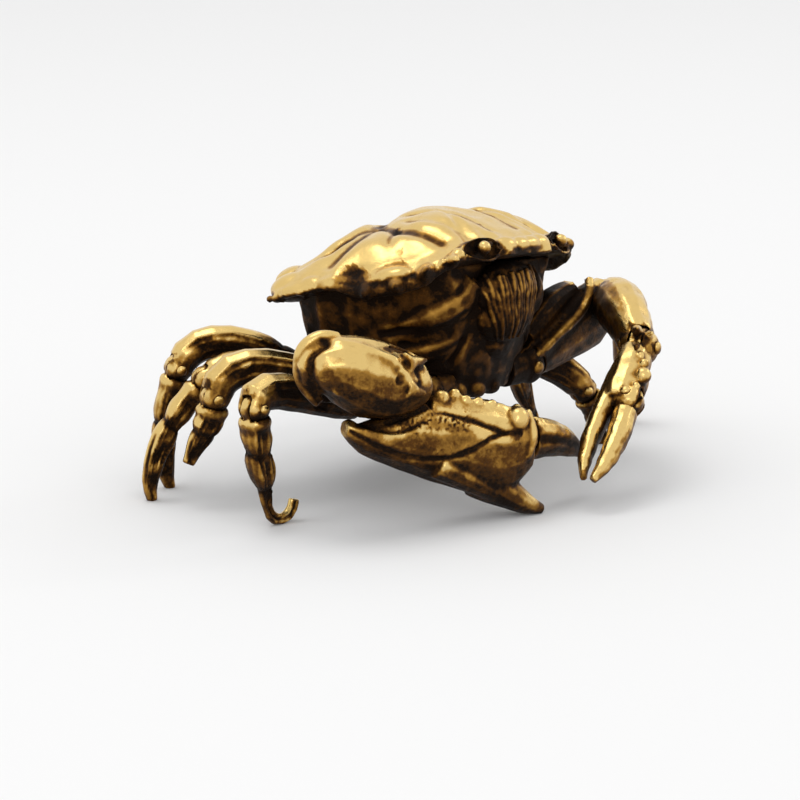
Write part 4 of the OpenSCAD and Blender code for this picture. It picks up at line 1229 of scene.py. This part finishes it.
@dataclass
class LeftClaw:
    """The small claw, reaching round in front: arm, wrist segment, palm and moving finger.

    Args:
        rim: Bright lower edge of the arm's face.
    """

    rim: Path = field(default_factory=lambda: [
        (17.4, -6.3, 21.3), (16.9, -6.9, 20.4), (16.2, -7.15, 19.4), (15.05, -7.2, 18.3), (13.28, -7.1, 17.0),
        (11.38, -6.75, 16.0), (9.63, -6.5, 15.0), (8.08, -6.2, 14.0), (6.5, -5.9, 13.3), (4.9, -5.4, 12.9)])

    def build(self) -> None:
        """Builds the claw's pieces."""
        self._arm()
        self._carpus()
        self._palm()
        self._finger()

    def _arm(self) -> None:
        """Arm: a broad satin face framed by a bright rim."""
        cast = Casting("left_arm_cast", ["left_arm"], voxel=0.17).node("left_arm")
        cast.rod(self.rim, [0.55, 0.6, 0.62, 0.6, 0.58, 0.55, 0.5, 0.48, 0.45, 0.4])
        for y in (-4.6, -3.9):
            cast.rod([(7.6, y + 0.2, 15.6), (10.2, y, 17.4), (13.2, y, 19.2), (16.2, y - 0.4, 20.0)],
                     [1.2, 1.7, 1.7, 1.2])
        cast.fuse(3)
        face = [(14.9, -6.3, 19.9), (12.6, -6.2, 18.2), (9.9, -5.9, 16.4), (7.7, -5.6, 15.1)]
        near = np.exp(-(cast.reach(face) / 2.2) ** 2) * ramp(-cast.no[:, 1], 0.1, 0.6)
        near = near * ramp(cast.reach(self.rim), 0.5, 1.2)
        cast.move(-0.3 * near, 0.8 * near)
        cast.write()
        cast.roughen(0.09, 1.9, 9.0)
        cast.finish_piece("left_arm")

    def _carpus(self) -> None:
        """Wrist segment: bright shoulder, with a row of spines down its inner edge."""
        cast = Casting("left_carpus_cast", ["left_carpus"], voxel=0.17).node("left_carpus")
        spines = [((10.3, -18.0, 17.6), (9.0, -19.0, 18.3), 0.75),
                  ((10.9, -18.9, 17.0), (10.6, -20.0, 17.7), 0.62),
                  ((9.3, -18.6, 16.2), (8.1, -19.5, 16.3), 0.6),
                  ((12.4, -15.8, 16.9), (11.2, -17.0, 16.4), 0.7)]
        for base, tip, radius in spines:
            cast.thorn(base, tip, radius, 0.2)
        cast.fuse(3)
        cast.carve([Stroke([(16.6, -9.6, 17.9), (14.3, -12.3, 17.6), (12.2, -15.0, 17.0),
                            (10.4, -17.2, 16.3)], 0.8, -0.4, 0.8),
                    Stroke([(14.8, -10.9, 19.6), (13.0, -13.6, 19.0), (11.7, -16.2, 18.0)], 0.6, 0.14, 0.0)])
        cast.roughen(0.14, 1.6, 11.0)
        cast.finish_piece("left_carpus")

    def _palm(self) -> None:
        """Palm with a knob and a rim at its end, and the fixed finger."""
        cast = Casting("left_palm_cast", ["left_palm"], voxel=0.15).node("left_palm")
        for place, radius in (((6.4, -21.6, 13.6), 0.95), ((7.6, -20.9, 14.7), 0.55),
                              ((4.9, -21.6, 12.6), 0.5), ((8.2, -20.0, 15.4), 0.45)):
            cast.ball(place, radius)
        cast.fuse(2)
        cast.roughen(0.12, 1.4, 12.0)
        cast.carve([Stroke([(5.2, -22.3, 12.0), (3.0, -23.0, 10.2), (0.0, -23.6, 8.4), (-3.2, -23.6, 6.2)],
                           0.3, -0.25, 0.9)])
        cast.finish_piece("left_palm")

    def _finger(self) -> None:
        """Moving finger with a ridge along its back."""
        cast = Casting("left_finger_cast", ["left_finger"], voxel=0.13).node("left_finger").fuse(2)
        cast.roughen(0.1, 1.3, 13.0)
        cast.finish_piece("left_finger")


# Rivets


@dataclass
class Rivets:
    """Every rivet. Those at the large claw's elbow, wrist and finger end flush, the others in round heads.

    Args:
        leg_head: Radius of a head at a hip, a knee and the small claw's finger.
        claw_head: Radius of a head at a shoulder and at the small claw's elbow and wrist.
        leg_reach: Distance of a head from the middle of a hip or a knee.
        claw_reach: Distance of a head from the middle of a shoulder, elbow or wrist.
        finger_reach: Distance of a head from the middle of the finger's joint.
    """

    leg_head: float = 0.62
    claw_head: float = 0.78
    leg_reach: float = 1.75
    claw_reach: float = 2.3
    finger_reach: float = 2.0

    def build(self) -> None:
        """Builds every rivet."""
        self._set("hip_rivets_cast", "hip_rivets", "body",
                  [f"{s}_hip_{i}" for s in ("right", "left") for i in range(1, 5)], self.leg_reach,
                  self.leg_head)
        self._set("shoulder_rivets_cast", "shoulder_rivets", "body", ["right_shoulder", "left_shoulder"],
                  self.claw_reach,
                  self.claw_head)
        for side in ("right", "left"):
            for i in range(1, 5):
                node = f"{side}_knee_rivet_{i}"
                self._set(node + "_cast", node, f"{side}_thigh_{i}", [f"{side}_knee_{i}"], self.leg_reach,
                          self.leg_head)
        self._set("left_elbow_rivet_cast", "left_elbow_rivet", "left_arm", ["left_elbow"], self.claw_reach,
                  self.claw_head)
        self._set("left_wrist_rivet_cast", "left_wrist_rivet", "left_carpus", ["left_wrist"], self.claw_reach,
                  self.claw_head)
        self._set("left_finger_rivet_cast", "left_finger_rivet", "left_palm", ["left_pincer"],
                  self.finger_reach, self.leg_head)
        flush = (("right_elbow_rivet", "right_arm"), ("right_wrist_rivet", "right_carpus"),
                 ("right_finger_rivet", "right_palm"))
        for name, body in flush:
            self._set(name + "_cast", name, body, [], 0.0, 0.0)

    def _set(self, name: str, node: str, body: str, joints: list[str], reach: float, head: float) -> None:
        """Builds the rivets of one node.

        Args:
            name: Name of the piece.
            node: Node of the construction.
            body: Body that the rivets ride on.
            joints: Joints whose rivets get heads.
            reach: Distance of a head from the joint.
            head: Radius of a head.
        """
        cast = Casting(name, [node], Finish.POLISHED, voxel=0.11).node(node)
        for joint in joints:
            centre, axis = pivot(joint), hinge_axis(joint)
            for side in (1, -1):
                place = centre + side * (reach - 0.12) * axis
                cast.ball(tuple(place), (head, head, 0.42), tuple(axis))
        cast.fuse(1)
        cast.finish_piece(body)


# Patina in recesses, and painted shade between parts and on faces turned to the floor


@dataclass
class Recesses:
    """Works out what the wheel could not reach and where shade falls, and stores it as patina and painted
    shade.

    Args:
        rays: Directions that are tried from each sample point.
        samples: Sample points of a piece.
        reach: How far a ray looks for something in the wheel's way.
        lift: Height above the skin at which a ray starts.
        strength: Patina and painted shade where the wheel can't reach at all.
        ground_shade: Painted shade of faces turned to the floor, as the share of a blocked ray that a free
            downward ray counts for.
        open_share: Closed share up to which the skin stays bright.
        closed_share: Closed share from which the patina is full.
        neighbours: Sample points that a point of the skin takes its shade from.
        facets: Faces that a piece is thinned to before the rays are tried.
        seed: Start of the random draws.
    """

    rays: int = 24
    samples: int = 1000
    reach: float = 14.0
    lift: float = 0.4
    strength: float = 1.05
    ground_shade: float = 0.85
    open_share: float = 0.14
    closed_share: float = 0.76
    neighbours: int = 4
    facets: int = 5000
    seed: int = 7

    def stain(self, pieces: list[bpy.types.Object]) -> None:
        """Adds the patina and painted shade of the recesses, and the painted shade of faces turned to the
        floor, to every piece.

        Args:
            pieces: The finished pieces.
        """
        corners: list[Vector] = []
        faces: list[tuple[int, ...]] = []
        for piece in pieces:
            start = len(corners)
            thin = piece.modifiers.new("thin", "DECIMATE")
            thin.ratio = min(1.0, self.facets / len(piece.data.polygons))
            coarse = piece.evaluated_get(bpy.context.evaluated_depsgraph_get())
            mesh = coarse.to_mesh()
            corners.extend(v.co / MM for v in mesh.vertices)
            faces.extend(tuple(start + i for i in p.vertices) for p in mesh.polygons)
            coarse.to_mesh_clear()
            piece.modifiers.remove(thin)
        tree = BVHTree.FromPolygons(corners, faces)
        picker = np.random.default_rng(self.seed)
        fan = picker.normal(size=(self.rays, 3))
        fan /= np.linalg.norm(fan, axis=1)[:, None]
        for piece in pieces:
            self._stain_and_shade_piece(piece, tree, fan, picker)

    def _stain_and_shade_piece(self, piece: bpy.types.Object, tree: BVHTree, fan: np.ndarray,
                     picker: np.random.Generator) -> None:
        """Shades one piece.

        Args:
            piece: Piece that is shaded.
            tree: Everything that can stand in the wheel's way.
            fan: Directions that are tried.
            picker: Source of the sample points.
        """
        mesh = piece.data
        count = len(mesh.vertices)
        co = np.empty(count * 3, np.float32)
        mesh.vertices.foreach_get("co", co)
        no = np.empty(count * 3, np.float32)
        mesh.vertices.foreach_get("normal", no)
        co, no = co.reshape(-1, 3) / MM, no.reshape(-1, 3)
        chosen = picker.choice(count, min(self.samples, count), replace=False)
        find = KDTree(len(chosen))
        shade = np.zeros(len(chosen))
        for k, i in enumerate(chosen):
            normal = Vector(no[i])
            start = Vector(co[i]) + normal * self.lift
            total = 0.0
            for ray in fan:
                way = (normal * 1.02 + Vector(ray)).normalized()
                hit = tree.ray_cast(start, way, self.reach)
                if hit[0] is not None:
                    total += 1.0 - 0.5 * hit[3] / self.reach
                # Painted shade: a free ray that points down counts as mostly blocked, which darkens faces
                # turned to the floor.
                elif way.z < -0.1:
                    total += self.ground_shade
            shade[k] = total / len(fan)
            find.insert(Vector(co[i]), k)
        find.balance()
        values = np.empty(count, np.float32)
        attribute = mesh.attributes["patina"]
        attribute.data.foreach_get("value", values)
        spread = np.empty(count)
        for i in range(count):
            near = find.find_n(Vector(co[i]), self.neighbours)
            weights = [1.0 / (0.05 + n[2]) for n in near]
            spread[i] = sum(w * shade[n[1]] for w, n in zip(weights, near)) / sum(weights)
        # Patina in the recesses, and painted shade between the parts and under them, added to what is stored.
        deep = self.strength * ramp(spread, self.open_share, self.closed_share)
        attribute.data.foreach_set("value", np.clip(values + deep, 0.0, 1.0).astype(np.float32))


# Studio


@dataclass
class Studio:
    """Pale floor, soft lamps, white surroundings and the camera. Lengths are metres and angles degrees.

    Args:
        target: Point that the camera and the lamps face.
        azimuth: Turn of the camera about the crab, from straight in front.
        elevation: Height of the camera above the horizontal.
        distance: Distance of the camera from the target.
        lens: Focal length in millimetres.
        floor_side: Side of the floor.
        floor_grey: Brightness of the floor.
        sky: Strength of the sky that lights the crab.
    """

    target: Point = (-0.00135, 0.00745, 0.008)
    azimuth: float = -52.0
    elevation: float = 13.0
    distance: float = 0.38
    lens: float = 145.35
    floor_side: float = 6.0
    floor_grey: float = 0.86
    sky: float = 0.93

    def build(self) -> None:
        """Builds the studio."""
        self._floor()
        self._world()
        self._camera()
        self._lamp("top_light", (-0.05, 0.12, 0.62), 0.26, 0.6)
        self._lamp("front_light", (-0.52, -0.42, 0.34), 0.14, 0.38)
        self._lamp("side_light", (0.55, -0.30, 0.40), 0.14, 0.28)

    def _floor(self) -> None:
        """Pale floor that fades into the white surroundings."""
        bpy.ops.mesh.primitive_plane_add(size=self.floor_side, location=(0, 0, 0))
        floor = bpy.context.object
        floor.name = "floor"
        material = bpy.data.materials.new("floor_paint")
        material.use_nodes = True
        tree = material.node_tree
        shader = tree.nodes["Principled BSDF"]
        shader.inputs["Base Color"].default_value = (self.floor_grey, self.floor_grey, self.floor_grey, 1.0)
        shader.inputs["Roughness"].default_value = 0.9
        shader.inputs["Specular IOR Level"].default_value = 0.1
        floor.data.materials.append(material)

    def _world(self) -> None:
        """White to the camera and to glossy and transmission rays, and a plain soft sky to all other rays."""
        world = bpy.data.worlds.new("studio")
        bpy.context.scene.world = world
        world.use_nodes = True
        tree = world.node_tree
        tree.nodes.clear()
        out = tree.nodes.new("ShaderNodeOutputWorld")
        mix = tree.nodes.new("ShaderNodeMixShader")
        sky = tree.nodes.new("ShaderNodeBackground")
        white = tree.nodes.new("ShaderNodeBackground")
        path = tree.nodes.new("ShaderNodeLightPath")
        seen = ShaderGroups.maths(tree, "MAXIMUM", path.outputs["Is Camera Ray"],
                                  path.outputs["Is Transmission Ray"])
        seen = ShaderGroups.maths(tree, "MAXIMUM", seen, path.outputs["Is Glossy Ray"])
        sky.inputs["Color"].default_value = (1, 1, 1, 1)
        sky.inputs["Strength"].default_value = self.sky
        white.inputs["Color"].default_value = (1, 1, 1, 1)
        white.inputs["Strength"].default_value = 1.0
        tree.links.new(seen, mix.inputs[0])
        tree.links.new(sky.outputs[0], mix.inputs[1])
        tree.links.new(white.outputs[0], mix.inputs[2])
        tree.links.new(mix.outputs[0], out.inputs[0])

    def _camera(self) -> None:
        """Camera at the photograph's viewing angle."""
        a, e = math.radians(self.azimuth), math.radians(self.elevation)
        back = Vector((math.sin(a) * math.cos(e), -math.cos(a) * math.cos(e), math.sin(e)))
        camera = bpy.data.objects.new("camera", bpy.data.cameras.new("camera"))
        bpy.context.scene.collection.objects.link(camera)
        camera.location = Vector(self.target) + back * self.distance
        camera.rotation_euler = (-back).to_track_quat("-Z", "Y").to_euler()
        camera.data.lens = self.lens
        camera.data.sensor_width = 36.0
        camera.data.clip_start = 0.01
        bpy.context.scene.camera = camera

    def _lamp(self, name: str, place: Point, size: float, power: float) -> None:
        """Adds a soft square lamp that faces the crab.

        Args:
            name: Name of the lamp.
            place: Where it hangs.
            size: Side of the lamp.
            power: Watts.
        """
        lamp = bpy.data.lights.new(name, "AREA")
        lamp.shape = "SQUARE"
        lamp.size = size
        lamp.energy = power
        obj = bpy.data.objects.new(name, lamp)
        bpy.context.scene.collection.objects.link(obj)
        obj.location = place
        obj.rotation_euler = (Vector(place) - Vector(self.target)).to_track_quat("Z", "Y").to_euler()


def main() -> None:
    """Builds the crab, dresses it, and sets up the studio."""
    logging.basicConfig(level=logging.INFO, format="%(name)s: %(message)s")
    bpy.context.scene.view_settings.view_transform = "Standard"
    bpy.ops.object.select_all(action="DESELECT")
    before = set(bpy.data.objects)
    shell = Shell()
    shell.build()
    Trunk(shell).build()
    legs = [LegPose("right", 1, (5.3, 9.6), 0.62), LegPose("right", 2, (4.4,), 0.6),
            LegPose("right", 3, (6.4,)),
            LegPose("right", 4, (6.8,)), LegPose("left", 1, (3.4,)), LegPose("left", 2, (6.6,), collar=0.06),
            LegPose("left", 3, (5.8,)), LegPose("left", 4, (6.6,))]
    for pose in legs:
        Leg(pose).build()
    RightClaw().build()
    LeftClaw().build()
    Rivets().build()
    pieces = sorted((o for o in bpy.data.objects if o not in before and "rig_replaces" in o),
                    key=lambda o: o.name)
    groups = ShaderGroups()
    brasses = {kind.value: Brass(kind, groups).material for kind in Finish}
    for piece in pieces:
        piece.data.materials.clear()
        piece.data.materials.append(brasses[piece["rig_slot"]])
    Recesses().stain(pieces)
    Studio().build()


if __name__ == "__main__":
    main()
